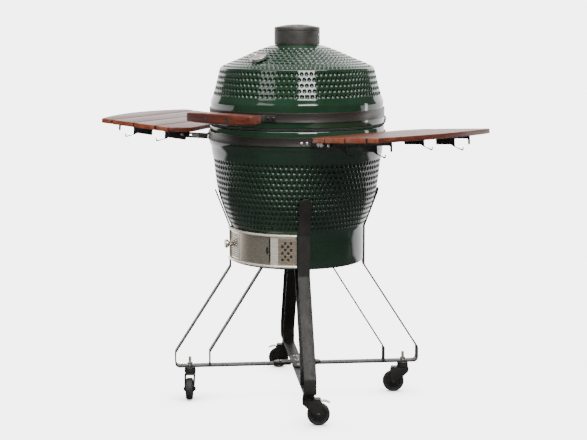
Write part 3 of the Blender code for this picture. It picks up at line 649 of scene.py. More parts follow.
baseShape = {"lip": [(0.2735, 0.9456), (0.2900, 0.9456), (0.2940, 0.9440), (0.2956, 0.9405),
                     (0.2966, 0.9310), (0.2970, 0.9270), (0.2975, 0.9100), (0.2985, 0.8945),
                     (0.2982, 0.8880), (0.2968, 0.8838), (0.2940, 0.8790), (0.2921, 0.8730),
                     (0.2910, 0.8640), (0.2899, 0.8550), (0.2884, 0.8460), (0.2868, 0.8400)],
             "lipInner": [(0.2620, 0.8400), (0.2640, 0.8600), (0.2700, 0.9000)],
             "belly": [(0.2862, 0.8380), (0.2828, 0.8190), (0.2800, 0.7900), (0.2770, 0.7650),
                       (0.2725, 0.7350), (0.2655, 0.7050), (0.2530, 0.6670), (0.2400, 0.6315),
                       (0.2310, 0.6110)],
             "bellyInner": [(0.2080, 0.6110), (0.2160, 0.6400), (0.2450, 0.7200), (0.2520, 0.7700),
                            (0.2620, 0.8400)],
             "rows": 13,
             "drum": [(0.2080, 0.6110), (0.2310, 0.6110), (0.2292, 0.6070), (0.2280, 0.6030),
                      (0.2275, 0.5990), (0.2274, 0.5750), (0.2274, 0.5600), (0.2274, 0.5450),
                      (0.2274, 0.5300), (0.2274, 0.5150), (0.2273, 0.4890), (0.2264, 0.4850),
                      (0.2240, 0.4833), (0.0, 0.4832), (0.0, 0.5100), (0.2030, 0.5100),
                      (0.2030, 0.5150), (0.2030, 0.5300), (0.2030, 0.5450), (0.2030, 0.5600),
                      (0.2030, 0.5750), (0.2030, 0.6000)],
             "opening": (0.5150, 0.5750), "openingAngle": 14.2, "drumSteps": 240}


def buildBase():
    # smooth lip, pitted belly and straight drum, one above the other
    shape = baseShape
    bm = bmesh.new()
    addSpin(bm, shape["lip"] + shape["lipInner"], 240)
    cleanUp(bm)
    newPiece("glazedLip", bm, "base", glaze, place=toBowl, smooth=50)
    bm = bmesh.new()
    zones = [{"rows": 0, "points": shape["bellyInner"] + shape["lip"][-1:]},
             {"rows": shape["rows"], "points": shape["belly"]}]
    pressPits(bm, addShell(bm, zones, 8), rowHeightOf(shape["belly"], shape["rows"]))
    cleanUp(bm)
    newPiece("glazedBelly", bm, "base", glaze, ["ceramic_base"], toBowl, 34)
    bm = bmesh.new()
    addSpin(bm, shape["drum"], shape["drumSteps"])
    cleanUp(bm)
    low, high = shape["opening"]
    gone = []
    for face in bm.faces:
        centre = face.calc_center_median()
        angle = math.degrees(math.atan2(centre.x, -centre.y))
        if abs(angle) < shape["openingAngle"] and low < centre.z < high:
            gone.append(face)
    bmesh.ops.delete(bm, geom=gone, context="FACES")
    rims = [edge for edge in bm.edges if edge.is_boundary]
    bmesh.ops.bridge_loops(bm, edges=rims)
    bmesh.ops.recalc_face_normals(bm, faces=bm.faces)
    newPiece("glazedDrum", bm, "base", glaze, place=toBowl, smooth=50)


buildLid()
buildBase()
print("glazed shells pressed")


# steel bands and gaskets

def roundedBand(inner, outer, low, high, lip):
    # a rolled section: thin wall with its two edges turned out a little
    middle = (inner + outer) / 2
    return [(outer, high - lip), (outer - 0.0002, high - lip * 0.3), (middle, high),
            (inner, high - 0.0004), (inner, low + 0.0004), (middle, low),
            (outer - 0.0002, low + lip * 0.3), (outer, low + lip),
            (outer - 0.0006, low + lip * 1.7), (outer - 0.0006, high - lip * 1.7)]


def buildBand(name, node, body, material):
    low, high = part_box(node)
    outer = (high[0] - low[0]) / 2
    bm = bmesh.new()
    addSpin(bm, roundedBand(outer - 0.0026, outer, low[2], high[2], 0.0022), 240)
    cleanUp(bm)
    newPiece(name, bm, body, material, [node], toBowl)


def buildGasket(name, node, body):
    low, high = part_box(node)
    outer = (high[0] - low[0]) / 2
    bm = bmesh.new()
    middle = (low[2] + high[2]) / 2
    section = [(outer - 0.0012, high[2]), (outer, middle), (outer - 0.0012, low[2]), (0.2740, low[2]),
               (0.2740, high[2])]
    addSpin(bm, section, 160)
    cleanUp(bm)
    newPiece(name, bm, body, felt, [node], toBowl)


def buildBandBolts(name, node, body, z, places):
    # pairs of dome bolts beside each shelf bracket
    outer = (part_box(node)[1][0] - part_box(node)[0][0]) / 2
    bm = bmesh.new()
    for place in places:
        for angle in (place, -place, 180 - place, place - 180):
            addBolt(bm, toBowl @ around(angle, outer - 0.0004, z), outward(angle), 0.0062, 0.0046)
    newPiece(name, bm, body, zinc)


def buildBandClasp(name, body, radius, z, angle):
    # the band's ends: two folded ears drawn together by a screw
    bm = bmesh.new()
    place = toBowl @ Matrix.Translation(around(angle, radius, z)) @ \
        Matrix.Rotation(math.radians(angle), 4, "Z")
    for side in (-1, 1):
        addBox(bm, (side * 0.0075 - 0.001, -0.014, -0.012), (side * 0.0075 + 0.001, 0.001, 0.012), place,
               0.0006)
    addTurned(bm, [(0, 0.017), (0.0024, 0.017), (0.0024, -0.017), (0, -0.017)], 14,
              place @ Matrix.Translation((0, -0.008, 0)) @ Matrix.Rotation(math.radians(90), 4, "Y"))
    across = place.to_3x3() @ Vector((1, 0, 0))
    addBolt(bm, place @ Vector((0.0086, -0.008, 0)), across, 0.0048, 0.004, True)
    addBolt(bm, place @ Vector((-0.0086, -0.008, 0)), -across, 0.0048, 0.004)
    newPiece(name, bm, body, zinc)


buildBand("lidBand", "lid_band", "lid", bandSteel)
buildBand("baseBand", "base_band", "base", bandSteel)
buildBandBolts("baseBandBolts", "base_band", "base", 0.907, (42.0, 45.3))
buildGasket("lidGasket", "lid_gasket", "lid")
buildGasket("baseGasket", "base_gasket", "base")
buildBandClasp("lidBandClasp", "lid", 0.2970, 0.9884, 149)
buildBandClasp("baseBandClasp", "base", 0.3015, 0.9110, -149)
print("bands and gaskets made")


# vent

vent = {"radius": 0.0768, "seat": 1.2140, "split": 1.2620, "holes": 5, "holeRing": 0.033,
        "holeRadius": 0.011}


def holeRays(outer):
    # directions from a hole's centre that include its wedge's corners
    half = math.pi / vent["holes"]
    corner = math.atan2(outer * math.sin(half), outer * math.cos(half) - vent["holeRing"])
    turns = [corner * i / 4 for i in range(5)]
    turns += [corner + (math.pi - corner) * i / 5 for i in range(1, 6)]
    return turns + [-turn for turn in reversed(turns[1:-1])]


def wedgeEdge(direction, outer):
    # where a ray from the hole's centre leaves its wedge of the disc
    half = math.pi / vent["holes"]
    start = Vector((vent["holeRing"], 0, 0))
    along = start.dot(direction)
    best = -along + math.sqrt(along ** 2 - start.dot(start) + outer ** 2)
    for sign in (1, -1):
        normal = Vector((-math.sin(half), math.cos(half) * sign, 0))
        speed = direction.dot(normal)
        if speed > 0.000001:
            best = min(best, -start.dot(normal) / speed)
    return start + direction * best


def holedDisc(bm, outer, low, high, shift, rise=0.0):
    # a disc with a ring of round holes, joined from one wedge for each hole, its top domed by rise
    part = bmesh.new()
    for i in range(vent["holes"]):
        spin = Matrix.Rotation(2 * math.pi * (i + shift) / vent["holes"], 4, "Z")
        inner, rim = [], []
        for turn in holeRays(outer):
            direction = Vector((math.cos(turn), math.sin(turn), 0))
            hole = Vector((vent["holeRing"], 0, 0)) + direction * vent["holeRadius"]
            inner.append(part.verts.new(spin @ hole))
            rim.append(part.verts.new(spin @ wedgeEdge(direction, outer)))
        for k in range(len(rim)):
            part.faces.new((inner[k - 1], rim[k - 1], rim[k], inner[k]))
    bmesh.ops.remove_doubles(part, verts=part.verts, dist=0.0002)
    bmesh.ops.recalc_face_normals(part, faces=part.faces)
    raised = bmesh.ops.extrude_face_region(part, geom=part.faces[:])
    tops = [item for item in raised["geom"] if isinstance(item, bmesh.types.BMVert)]
    bmesh.ops.translate(part, vec=(0, 0, low), verts=part.verts)
    for vert in tops:
        share = math.hypot(vert.co.x, vert.co.y) / outer
        vert.co.z = high + rise * (1 - share ** 2)
    bmesh.ops.recalc_face_normals(part, faces=part.faces)
    rims = [edge for edge in part.edges if edge.calc_face_angle(0) > math.radians(60)]
    bmesh.ops.bevel(part, geom=rims, offset=0.0006, segments=2, profile=0.5, affect="EDGES",
                    clamp_overlap=True, material=-1)
    addPart(bm, part)


def buildVent():
    r, seat, split = vent["radius"], vent["seat"], vent["split"]
    bm = bmesh.new()
    section = [(r - 0.006, split - 0.0002), (r - 0.0010, split - 0.0002), (r, split - 0.0012),
               (r, seat + 0.0040), (r - 0.0012, seat + 0.0028), (r - 0.0012, seat + 0.0002),
               (0.0545, seat + 0.0002),
               (0.0540, 1.1905), (0.0505, 1.1905), (0.0505, split - 0.004), (r - 0.010, split - 0.004)]
    addSpin(bm, section, 96)
    cleanUp(bm)
    holedDisc(bm, r - 0.0055, split - 0.004, split - 0.0004, 0.0)
    newPiece("ventCollar", bm, "lid", castIron, ["vent_collar"], toBowl)
    bm = bmesh.new()
    low = split + 0.0004
    rim = [(r - 0.0040, low + 0.0100), (r - 0.0018, low + 0.0100), (r - 0.0004, low + 0.0088),
           (r, low + 0.0074), (r, low + 0.0008), (r - 0.0008, low), (r - 0.0040, low)]
    addSpin(bm, rim, 96)
    cleanUp(bm)
    holedDisc(bm, r - 0.0036, low, low + 0.0104, 0.5, 0.0088)
    newPiece("ventDial", bm, "vent_dial", castIron, ["vent_dial"], toBowl)
    bm = bmesh.new()
    side = 39 + 72
    addBolt(bm, toBowl @ around(side, r - 0.0005, 1.2465), outward(side), 0.0042, 0.0035)
    addBolt(bm, toBowl @ around(side - 180, r - 0.0005, 1.2465), outward(side - 180), 0.0042, 0.0035)
    newPiece("ventScrews", bm, "lid", zinc)


buildVent()


# thermometer

gauge = {"tilt": 23.2, "out": 0.196, "z": 1.1675, "radius": 0.0298, "rimTop": 0.0148, "ticks": 13}


def buildThermometer():
    place = toBowl @ Matrix.Translation((0, -gauge["out"], gauge["z"])) @ \
        Matrix.Rotation(math.radians(gauge["tilt"]), 4, "X")
    r, top = gauge["radius"], gauge["rimTop"]
    bm = bmesh.new()
    section = [(r - 0.0045, top - 0.0022), (r - 0.0030, top), (r - 0.0012, top - 0.0004),
               (r, top - 0.0022), (r, 0.0052), (r - 0.0010, 0.0042),
               (0.0120, 0.0034), (0.0110, -0.0010), (0.0035, -0.0012),
               (0.0034, -0.0545), (0.0020, -0.0558), (0, -0.0558)]
    addSpin(bm, section + [(0, 0.0100), (r - 0.0045, 0.0100)], 64)
    cleanUp(bm)
    newPiece("gaugeCase", bm, "lid", zinc, ["thermometer"], place)
    bm = bmesh.new()
    face = 0.0112
    disc = [(0, face), (r - 0.0042, face), (r - 0.0042, face - 0.001), (0, face - 0.001)]
    addSpin(bm, disc, 64, closed=False)
    cleanUp(bm)
    newPiece("gaugeFace", bm, "lid", dialWhite, place=place)
    bm = bmesh.new()
    for i in range(gauge["ticks"]):
        angle = math.radians(-135 + 270 * i / (gauge["ticks"] - 1))
        long = i % 3 == 0
        spin = Matrix.Rotation(angle, 4, "Z")
        addBox(bm, (-0.0007, 0.0178 if long else 0.0200, face), (0.0007, 0.0232, face + 0.0002), spin)
    newPiece("gaugeTicks", bm, "lid", dialInk, place=place)
    bm = bmesh.new()
    spin = Matrix.Rotation(math.radians(112), 4, "Z")
    needle = [(-0.0014, -0.006), (0.0014, -0.006), (0.0009, 0.010), (0.0, 0.0195), (-0.0009, 0.010)]
    addPlate(bm, needle, face + 0.0006, face + 0.0011, spin)
    addTurned(bm, [(0, face + 0.0022), (0.0020, face + 0.0020), (0.0026, face + 0.0012), (0.0026, face),
                   (0, face)], 20)
    newPiece("gaugeNeedle", bm, "lid", needleRed, place=place)


buildThermometer()
print("vent and thermometer made")


# handle

grip = {"outerRadius": 0.850, "depth": 0.052, "halfLength": 0.140, "screwPlace": 0.048,
        "endHeight": 0.88}


def tagBoard(bm, value):
    # an offset that makes every board's grain its own
    layer = bm.verts.layers.float_vector.new("board")
    for vert in bm.verts:
        vert[layer] = (value, value * 0.37, value * 1.9)


def buildHandle():
    low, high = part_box("handle_bar")
    centreY = low[1] + grip["outerRadius"]
    bm = bmesh.new()
    steps = 20
    outline = []
    for radius, order in ((grip["outerRadius"], 1), (grip["outerRadius"] - grip["depth"], -1)):
        sweep = math.asin(grip["halfLength"] / radius)
        for i in range(steps + 1):
            angle = order * sweep * (2 * i / steps - 1)
            outline.append((radius * math.sin(angle), centreY - radius * math.cos(angle)))
    middle = (low[2] + high[2]) / 2
    half = (high[2] - low[2]) / 2
    face = bm.faces.new([bm.verts.new((x, y, low[2])) for x, y in outline])
    raised = bmesh.ops.extrude_face_region(bm, geom=[face])
    tops = [item for item in raised["geom"] if isinstance(item, bmesh.types.BMVert)]
    bmesh.ops.translate(bm, vec=(0, 0, 2 * half), verts=tops)
    for vert in bm.verts:       # a little lower towards its ends
        share = abs(vert.co.x) / grip["halfLength"]
        height = 1 - (1 - grip["endHeight"]) * share ** 2
        vert.co.z = middle + (vert.co.z - middle) * height
    bmesh.ops.recalc_face_normals(bm, faces=bm.faces)
    rims = [edge for edge in bm.edges if edge.calc_face_angle(0) > math.radians(50)]
    bmesh.ops.bevel(bm, geom=rims, offset=0.0065, segments=5, profile=0.5, affect="EDGES",
                    clamp_overlap=True, material=-1)
    tagBoard(bm, 0.61)
    newPiece("handleBar", bm, "lid", woods["handle"], ["handle_bar"], smooth=50)
    bm = bmesh.new()
    for side in (-1, 1):
        x = side * grip["screwPlace"]
        y = centreY - math.sqrt(grip["outerRadius"] ** 2 - x ** 2)
        cap = [(0, 0.0002), (0.0052, 0.0004), (0.0068, 0.0009), (0.0074, 0.0006), (0.0076, -0.0010),
               (0.0076, -0.0040), (0, -0.0040)]
        addTurned(bm, cap, 24, aim((x, y, middle), (x / grip["outerRadius"], -1, 0)))
    newPiece("handleScrews", bm, "lid", dialInk)


def arcPath(radius, start, end, steps, centre=(0, 0)):
    points = []
    for i in range(steps + 1):
        angle = math.radians(start + (end - start) * i / steps)
        points.append((centre[0] + radius * math.sin(angle), centre[1] - radius * math.cos(angle)))
    return points


def bentStrip(name, path, low, high, body, replaced, place=toBowl, thickness=0.003):
    # a strip on edge that follows a path in plan
    bm = bmesh.new()
    bottom = [bm.verts.new((x, y, low)) for x, y in path]
    edges = [bm.edges.new(pair) for pair in zip(bottom, bottom[1:])]
    raised = bmesh.ops.extrude_edge_only(bm, edges=edges)["geom"]
    tops = [item for item in raised if isinstance(item, bmesh.types.BMVert)]
    bmesh.ops.translate(bm, vec=(0, 0, high - low), verts=tops)
    piece = newPiece(name, bm, body, blackSteel, replaced, place)
    addThickness(piece, thickness)
    return piece


def buildHandleBrackets():
    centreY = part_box("handle_bar")[0][1] - bowlY + grip["outerRadius"]
    back = grip["outerRadius"] - grip["depth"] - 0.0020
    bandRadius = 0.2992
    for side, node in ((1, "handle_bracket_right"), (-1, "handle_bracket_left")):
        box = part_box(node)
        band = arcPath(bandRadius, 26, 18.5, 4)
        turns = [math.degrees(math.asin(x / back)) for x in (0.077, 0.056)]
        end = arcPath(back, turns[0], turns[1], 3, (0, centreY))
        path = [(side * point.x, point.y) for point in roundedPath(band + end, 0.006, 3)]
        name = "handleBracketRight" if side > 0 else "handleBracketLeft"
        bentStrip(name, path, box[0][2], box[1][2], "lid", [node])
    bm = bmesh.new()
    for side in (-1, 1):
        for angle in (21.2, 24.6):
            addBolt(bm, toBowl @ around(side * angle, bandRadius + 0.0014, 0.987), outward(side * angle))
    newPiece("handleBracketBolts", bm, "lid", blackSteel)


buildHandle()
buildHandleBrackets()
print("handle made")


# rear hinge

hinge = {"lowerHalf": 0.122, "upperHalf": 0.114, "lowerRadius": 0.3035, "upperRadius": 0.2992,
         "lowerZ": (0.9000, 0.9610), "upperZ": (0.9360, 1.0010),
         "lowerArc": (0.9000, 0.9240), "upperArc": (0.9760, 1.0010), "ear": 0.013}


def buildHingeBracket(name, node, body, radius, half, arcZ, earZ):
    # a strip along the band, with two rounded ears that reach back to the pin
    pinY = hingeSpot.y - bowlY
    sweep = math.degrees(math.asin(half / radius))
    path = arcPath(radius, 180 - sweep + 0.3, 180 + sweep - 0.3, 24)
    bentStrip(name, path, arcZ[0], arcZ[1], body, [node])
    bm = bmesh.new()
    start = math.sqrt(radius ** 2 - half ** 2) - 0.0012
    low, high = earZ
    ear = hinge["ear"]
    for side in (-1, 1):
        if arcZ[0] < hingeSpot.z:
            outline = [(start, arcZ[0]), (start + 0.030, arcZ[0])]
            turn = (-50, 130)
        else:
            outline = [(start + 0.030, arcZ[1]), (start, arcZ[1])]
            turn = (50, -130)
        for i in range(11):
            angle = math.radians(turn[0] + (turn[1] - turn[0]) * i / 10)
            outline.append((pinY + ear * math.cos(angle), hingeSpot.z + ear * math.sin(angle)))
        if arcZ[0] < hingeSpot.z:
            outline += [(start + 0.012, high - 0.012), (start, arcZ[1])]
        else:
            outline += [(start + 0.012, low + 0.012), (start, arcZ[0])]
            outline = outline[1:] + outline[:1]
        # outline is (y, z); the plate's thickness runs along X
        place = toBowl @ Matrix.Translation((side * half, 0, 0)) @ \
            Matrix(((0, 0, 1, 0), (1, 0, 0, 0), (0, 1, 0, 0), (0, 0, 0, 1)))
        addPlate(bm, outline, -0.0015, 0.0015, place, 0.0006)
    bmesh.ops.recalc_face_normals(bm, faces=bm.faces)
    newPiece(name + "Ears", bm, body, blackSteel)


def buildHinge():
    for side, body in (("lower", "base"), ("upper", "lid")):
        buildHingeBracket("hinge" + side.capitalize(), "hinge_%s_bracket" % side, body,
                          hinge[side + "Radius"], hinge[side + "Half"], hinge[side + "Arc"],
                          hinge[side + "Z"])
    along = aim(hingeSpot, (1, 0, 0))
    bm = bmesh.new()
    addTurned(bm, [(0, 0.1250), (0.0048, 0.1250), (0.0048, -0.1250), (0, -0.1250)], 24, along)
    for side in (-1, 1):
        spot = hingeSpot + Vector((side * 0.1238, 0, 0))
        addBolt(bm, spot, (side, 0, 0), 0.0085, 0.0050, side < 0)
    for x in (-0.1175, 0.1175):     # spacers between the ears
        addTurned(bm, [(0.0052, 0.0020), (0.0085, 0.0020), (0.0085, -0.0020), (0.0052, -0.0020)], 24,
                  aim(hingeSpot + Vector((x, 0, 0)), (1, 0, 0)), True)
    newPiece("hingePin", bm, "base", zinc, ["hinge_pin"])
    bm = bmesh.new()
    for angle in (-17, -7, 7, 17):
        addBolt(bm, toBowl @ around(180 + angle, 0.3048, 0.912), outward(180 + angle))
    newPiece("hingeLowerBolts", bm, "base", zinc)
    bm = bmesh.new()
    for angle in (-17, -7, 7, 17):
        addBolt(bm, toBowl @ around(180 + angle, 0.3005, 0.9885), outward(180 + angle))
    newPiece("hingeUpperBolts", bm, "lid", zinc)


coil = {"radius": 0.0082, "wire": 0.0017, "length": 0.050, "turns": 9, "perTurn": 20}


def addCoil(bm, radius, wire, length, turns, perTurn, place):
    # a ring of wire spun round Z while it climbs
    ring = bmesh.ops.create_circle(bm, cap_ends=True, segments=8, radius=wire)["verts"]
    bmesh.ops.rotate(bm, verts=ring, matrix=Matrix.Rotation(math.radians(90), 3, "X"))
    bmesh.ops.translate(bm, verts=ring, vec=(radius, 0, -length / 2))
    faces = list({face for vert in ring for face in vert.link_faces})
    edges = list({edge for vert in ring for edge in vert.link_edges})
    bmesh.ops.spin(bm, geom=ring + edges + faces, axis=(0, 0, 1), cent=(0, 0, 0), steps=turns * perTurn,
                   angle=math.radians(360 * turns), dvec=(0, 0, length / (turns * perTurn)),
                   use_merge=False, use_duplicate=False)
    rims = [edge for edge in bm.edges if edge.is_boundary]
    bmesh.ops.holes_fill(bm, edges=rims, sides=0)
    bmesh.ops.recalc_face_normals(bm, faces=bm.faces)
    bmesh.ops.transform(bm, matrix=place, verts=bm.verts)


def buildSpring():
    bm = bmesh.new()
    addCoil(bm, coil["radius"], coil["wire"], coil["length"], coil["turns"], coil["perTurn"],
            aim(hingeSpot, (1, 0, 0)))
    newPiece("hingeSpring", bm, "base", zinc, ["hinge_spring"], smooth=60)


buildHinge()
buildSpring()
print("hinge made")


# draft door

draft = {"half": 39.0, "windowEnd": 17.5, "plateStart": 24.0, "inner": 0.2286, "outer": 0.2360,
         "lip": 0.0095, "screenRadius": 0.2309, "screenStart": -37.3, "screenEnd": 1.5,
         "doorStart": -18.0, "doorEnd": 16.0, "knobAngle": -34.4}


def curvedBar(bm, start, end, inner, outer, low, high, edge=0.0008, steps=None, index=0):
    # a bar bent round the foot, with its long edges taken off
    section = [(outer, high - edge), (outer - edge, high), (inner + edge, high), (inner, high - edge),
               (inner, low + edge), (inner + edge, low), (outer - edge, low), (outer, low + edge)]
    part = bmesh.new()
    addSpin(part, section, steps or max(3, round(abs(end - start) / 2)), True, start - 90, end - start)
    cleanUp(part)
    addPart(bm, part, index=index)


def wrapSheet(bm, radius):
    # a flat sheet in XZ (x measured along the curve from the front) laid round the foot
    for vert in bm.verts:
        angle = vert.co.x / radius
        depth = radius + vert.co.y
        vert.co = Vector((depth * math.sin(angle), -depth * math.cos(angle), vert.co.z))


def buildDraftFrame():
    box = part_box("draft_frame")
    low, high = box[0][2], box[1][2]
    half, end = draft["half"], draft["windowEnd"]
    inner, outer, lip = draft["inner"], draft["outer"], draft["lip"]
    bm = bmesh.new()
    curvedBar(bm, -half, half, inner, outer, high - 0.0040, high, 0.0014)
    curvedBar(bm, -half, half, inner, outer, low, low + 0.0040, 0.0014)
    # the lips get the lighter copy of the stainless, a painted highlight
    for z in (high - lip * 0.5, low + lip * 0.5):       # the two rolled lips
        bead = [(0.2346, z - lip * 0.46)]
        for turn in range(-90, 91, 20):
            angle = math.radians(turn)
            bead.append((outer - 0.0006 + 0.0050 * math.cos(angle), z + lip * 0.46 * math.sin(angle)))
        part = bmesh.new()
        addSpin(part, bead + [(0.2346, z + lip * 0.46)], 40, True, -half - 90, 2 * half)
        cleanUp(part)
        addPart(bm, part, index=1)
    curvedBar(bm, -half, -half + 1.4, inner, outer, low + 0.001, high - 0.001, 0.0012)
    curvedBar(bm, half - 1.4, half, inner, outer, low + 0.001, high - 0.001, 0.0012)
    # the end panel also gets the lighter copy: painted highlight
    curvedBar(bm, end, half, 0.2345, outer, low + 0.004, high - 0.004, 0.0006, index=1)
    curvedBar(bm, -half + 0.6, -half + 3.0, inner, 0.2300, low + 0.003, high - 0.003, 0.0004)
    curvedBar(bm, end - 0.5, half - 0.6, inner, 0.2300, low + 0.003, high - 0.003, 0.0004)
    curvedBar(bm, -half + 0.6, half - 0.6, inner, 0.2300, low + 0.003, low + 0.018, 0.0004)
    curvedBar(bm, -half + 0.6, half - 0.6, inner, 0.2300, high - 0.018, high - 0.003, 0.0004)
    newPiece("draftFrame", bm, "base", stainless, ["draft_frame"], toBowl,
             extra=(lipHighlightSteel,))
    # the fixed end plate: a thin skin punched with a pattern of slots and holes
    bm = bmesh.new()
    radius = outer + 0.0003
    start, stop = math.radians(draft["plateStart"]) * radius, math.radians(half - 1.0) * radius
    columns, rows = 6, 8
    bmesh.ops.create_grid(bm, x_segments=columns, y_segments=rows, size=0.5)
    bmesh.ops.rotate(bm, verts=bm.verts, matrix=Matrix.Rotation(math.radians(90), 3, "X"))
    bmesh.ops.scale(bm, vec=(stop - start, 1, high - low - 0.024), verts=bm.verts)
    bmesh.ops.translate(bm, vec=((start + stop) / 2, 0, (low + high) / 2), verts=bm.verts)
    ordered = sorted(bm.faces, key=lambda face: (round(face.calc_center_median().z, 4),
                                                 face.calc_center_median().x))
    punched = [face for i, face in enumerate(ordered)
               if 0 < i % columns < columns - 1 and 0 < i // columns < rows - 1
               and (i % columns + i // columns) % 2 == 0]
    bmesh.ops.inset_individual(bm, faces=punched, thickness=0.0011)
    bmesh.ops.delete(bm, geom=punched, context="FACES")
    level = [edge for edge in bm.edges if abs(edge.verts[0].co.z - edge.verts[1].co.z) < 0.0001
             and edge.calc_length() > 0.003]
    bmesh.ops.subdivide_edges(bm, edges=level, cuts=1)
    wrapSheet(bm, radius)
    plate = newPiece("draftEndPlate", bm, "base", punchedSteel, place=toBowl)
    addThickness(plate, 0.0009, 0.0002, 0.0)
    # a near-black sheet just behind the plate: painted shade seen through its holes
    bm = bmesh.new()
    curvedBar(bm, draft["plateStart"], half - 1.2, outer - 0.0012, outer + 0.00004, low + 0.013,
              high - 0.013, 0.0003)
    newPiece("draftPlateShadeSheet", bm, "base", paintedShadeBlack, place=toBowl)


def buildDraftDoors():
    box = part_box("draft_door")
    low, high = box[0][2], box[1][2]
    middle = (low + high) / 2
    first, last = draft["doorStart"], draft["doorEnd"]
    bm = bmesh.new()
    curvedBar(bm, first, last, 0.2320, 0.2328, low, high, 0.0002)
    for start in (first, last - 0.9):       # its two folded ends
        curvedBar(bm, start, start + 0.9, 0.2316, 0.2336, low + 0.006, high - 0.006, 0.0005)
    newPiece("draftDoor", bm, "draft_door", doorSteel, ["draft_door"], toBowl)
    bm = bmesh.new()        # finger pull: an oval dish in a raised rim
    dish = [(0.0, 0.0), (0.60, 0.0001), (0.80, 0.0006), (0.90, 0.0012), (1.0, 0.0010), (1.0, -0.0004),
            (0, -0.0004)]
    addTurned(bm, [(radius * 0.0052, height) for radius, height in dish], 32)
    bmesh.ops.scale(bm, vec=(1, 2.4, 1), verts=bm.verts)
    turn = last - 1.6
    place = toBowl @ Matrix.Translation(around(turn, 0.2328, middle)) @ \
        Matrix.Rotation(math.radians(turn), 4, "Z") @ Matrix.Rotation(math.radians(90), 4, "X")
    # the dish is near black: painted shade in the recess
    newPiece("doorPull", bm, "draft_door", paintedShadeBlack, place=place)


def buildScreen():
    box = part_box("spark_screen")
    low, high = box[0][2], box[1][2]
    middle = (low + high) / 2
    radius = draft["screenRadius"]
    start, end = math.radians(draft["screenStart"]) * radius, math.radians(draft["screenEnd"]) * radius
    bm = bmesh.new()
    columns, rows = 18, 13
    bmesh.ops.create_grid(bm, x_segments=columns, y_segments=rows, size=0.5)
    bmesh.ops.rotate(bm, verts=bm.verts, matrix=Matrix.Rotation(math.radians(90), 3, "X"))
    bmesh.ops.scale(bm, vec=(end - start - 0.016, 1, high - low - 0.020), verts=bm.verts)
    bmesh.ops.translate(bm, vec=((start + end) / 2, 0, middle), verts=bm.verts)
    cells = bm.faces[:]
    bmesh.ops.inset_individual(bm, faces=cells, thickness=0.0014)
    bmesh.ops.delete(bm, geom=cells, context="FACES")
    wrapSheet(bm, radius)
    mesh = newPiece("sparkMesh", bm, "spark_screen", stainless, place=toBowl)
    addThickness(mesh, 0.0008, 0)
    bm = bmesh.new()
    first, last = draft["screenStart"], draft["screenEnd"]
    curvedBar(bm, first, last, 0.2305, 0.2313, high - 0.0115, high, 0.0002)
    curvedBar(bm, first, last, 0.2305, 0.2313, low, low + 0.0115, 0.0002)
    curvedBar(bm, first, first + 2.2, 0.2305, 0.2314, low + 0.002, high - 0.002, 0.0002)
    curvedBar(bm, last - 2.2, last, 0.2305, 0.2314, low + 0.002, high - 0.002, 0.0002)
    knob = [(0.0, 0.0244), (0.0105, 0.0244), (0.0138, 0.0230), (0.0150, 0.0200), (0.0144, 0.0150),
            (0.0100, 0.0110), (0.0062, 0.0085), (0.0060, 0.0030), (0.0100, 0.0002), (0.0, 0.0002)]
    angle = draft["knobAngle"]
    addTurned(bm, knob, 36, aim(around(angle, 0.2312, middle), outward(angle)))
    newPiece("screenFrame", bm, "spark_screen", stainless, ["spark_screen"], toBowl)


buildDraftFrame()
buildDraftDoors()
buildScreen()
print("draft door made")


# cart

cart = {"width": 0.040, "thickness": 0.0049, "beamTop": 0.1138,
        "leg": [(0.2800, 0.7255), (0.2305, 0.5970), (0.2305, 0.4600), (0.4222, 0.1620), (0.4222, 0.1113),
                (0.0225, 0.1113)],
        "inner": [(0.3040, 0.1142), (0.3040, 0.1620), (0.1050, 0.4802)], "joggle": 0.4749}


def buildCart():
    for leg in legNames:
        spot = swivels[leg] - Vector((0, bowlY, 0))
        turn = math.atan2(spot.y, spot.x)
        path = roundedPath([Vector(corner) for corner in cart["leg"]], 0.016, 5)
        bm = bmesh.new()
        addRibbon(bm, path, cart["width"], roundStart=True)
        piece = newPiece("leg_" + leg, bm, "base", blackSteel, ["leg_strap_" + leg],
                         toBowl @ Matrix.Rotation(turn, 4, "Z"))
        addThickness(piece, cart["thickness"], 0.0008)
    side = cart["inner"]
    mirrored = [(-x, z) for x, z in reversed(side)]
    low = cart["joggle"]
    drop = [(0.0330, side[2][1]), (0.0240, low), (-0.0240, low), (-0.0330, side[2][1])]
    for name, points, turn in (("upper", side + mirrored, -45), ("lower", side + drop + mirrored, 45)):
        path = roundedPath([Vector(point) for point in points], 0.010 if name == "upper" else 0.006, 4)
        bm = bmesh.new()
        addRibbon(bm, path, cart["width"])
        place = toBowl @ Matrix.Rotation(math.radians(turn), 4, "Z")
        piece = newPiece("innerStrap_" + name, bm, "base", blackSteel, ["inner_strap_" + name],
                         place)
        addThickness(piece, cart["thickness"], 0.0008)


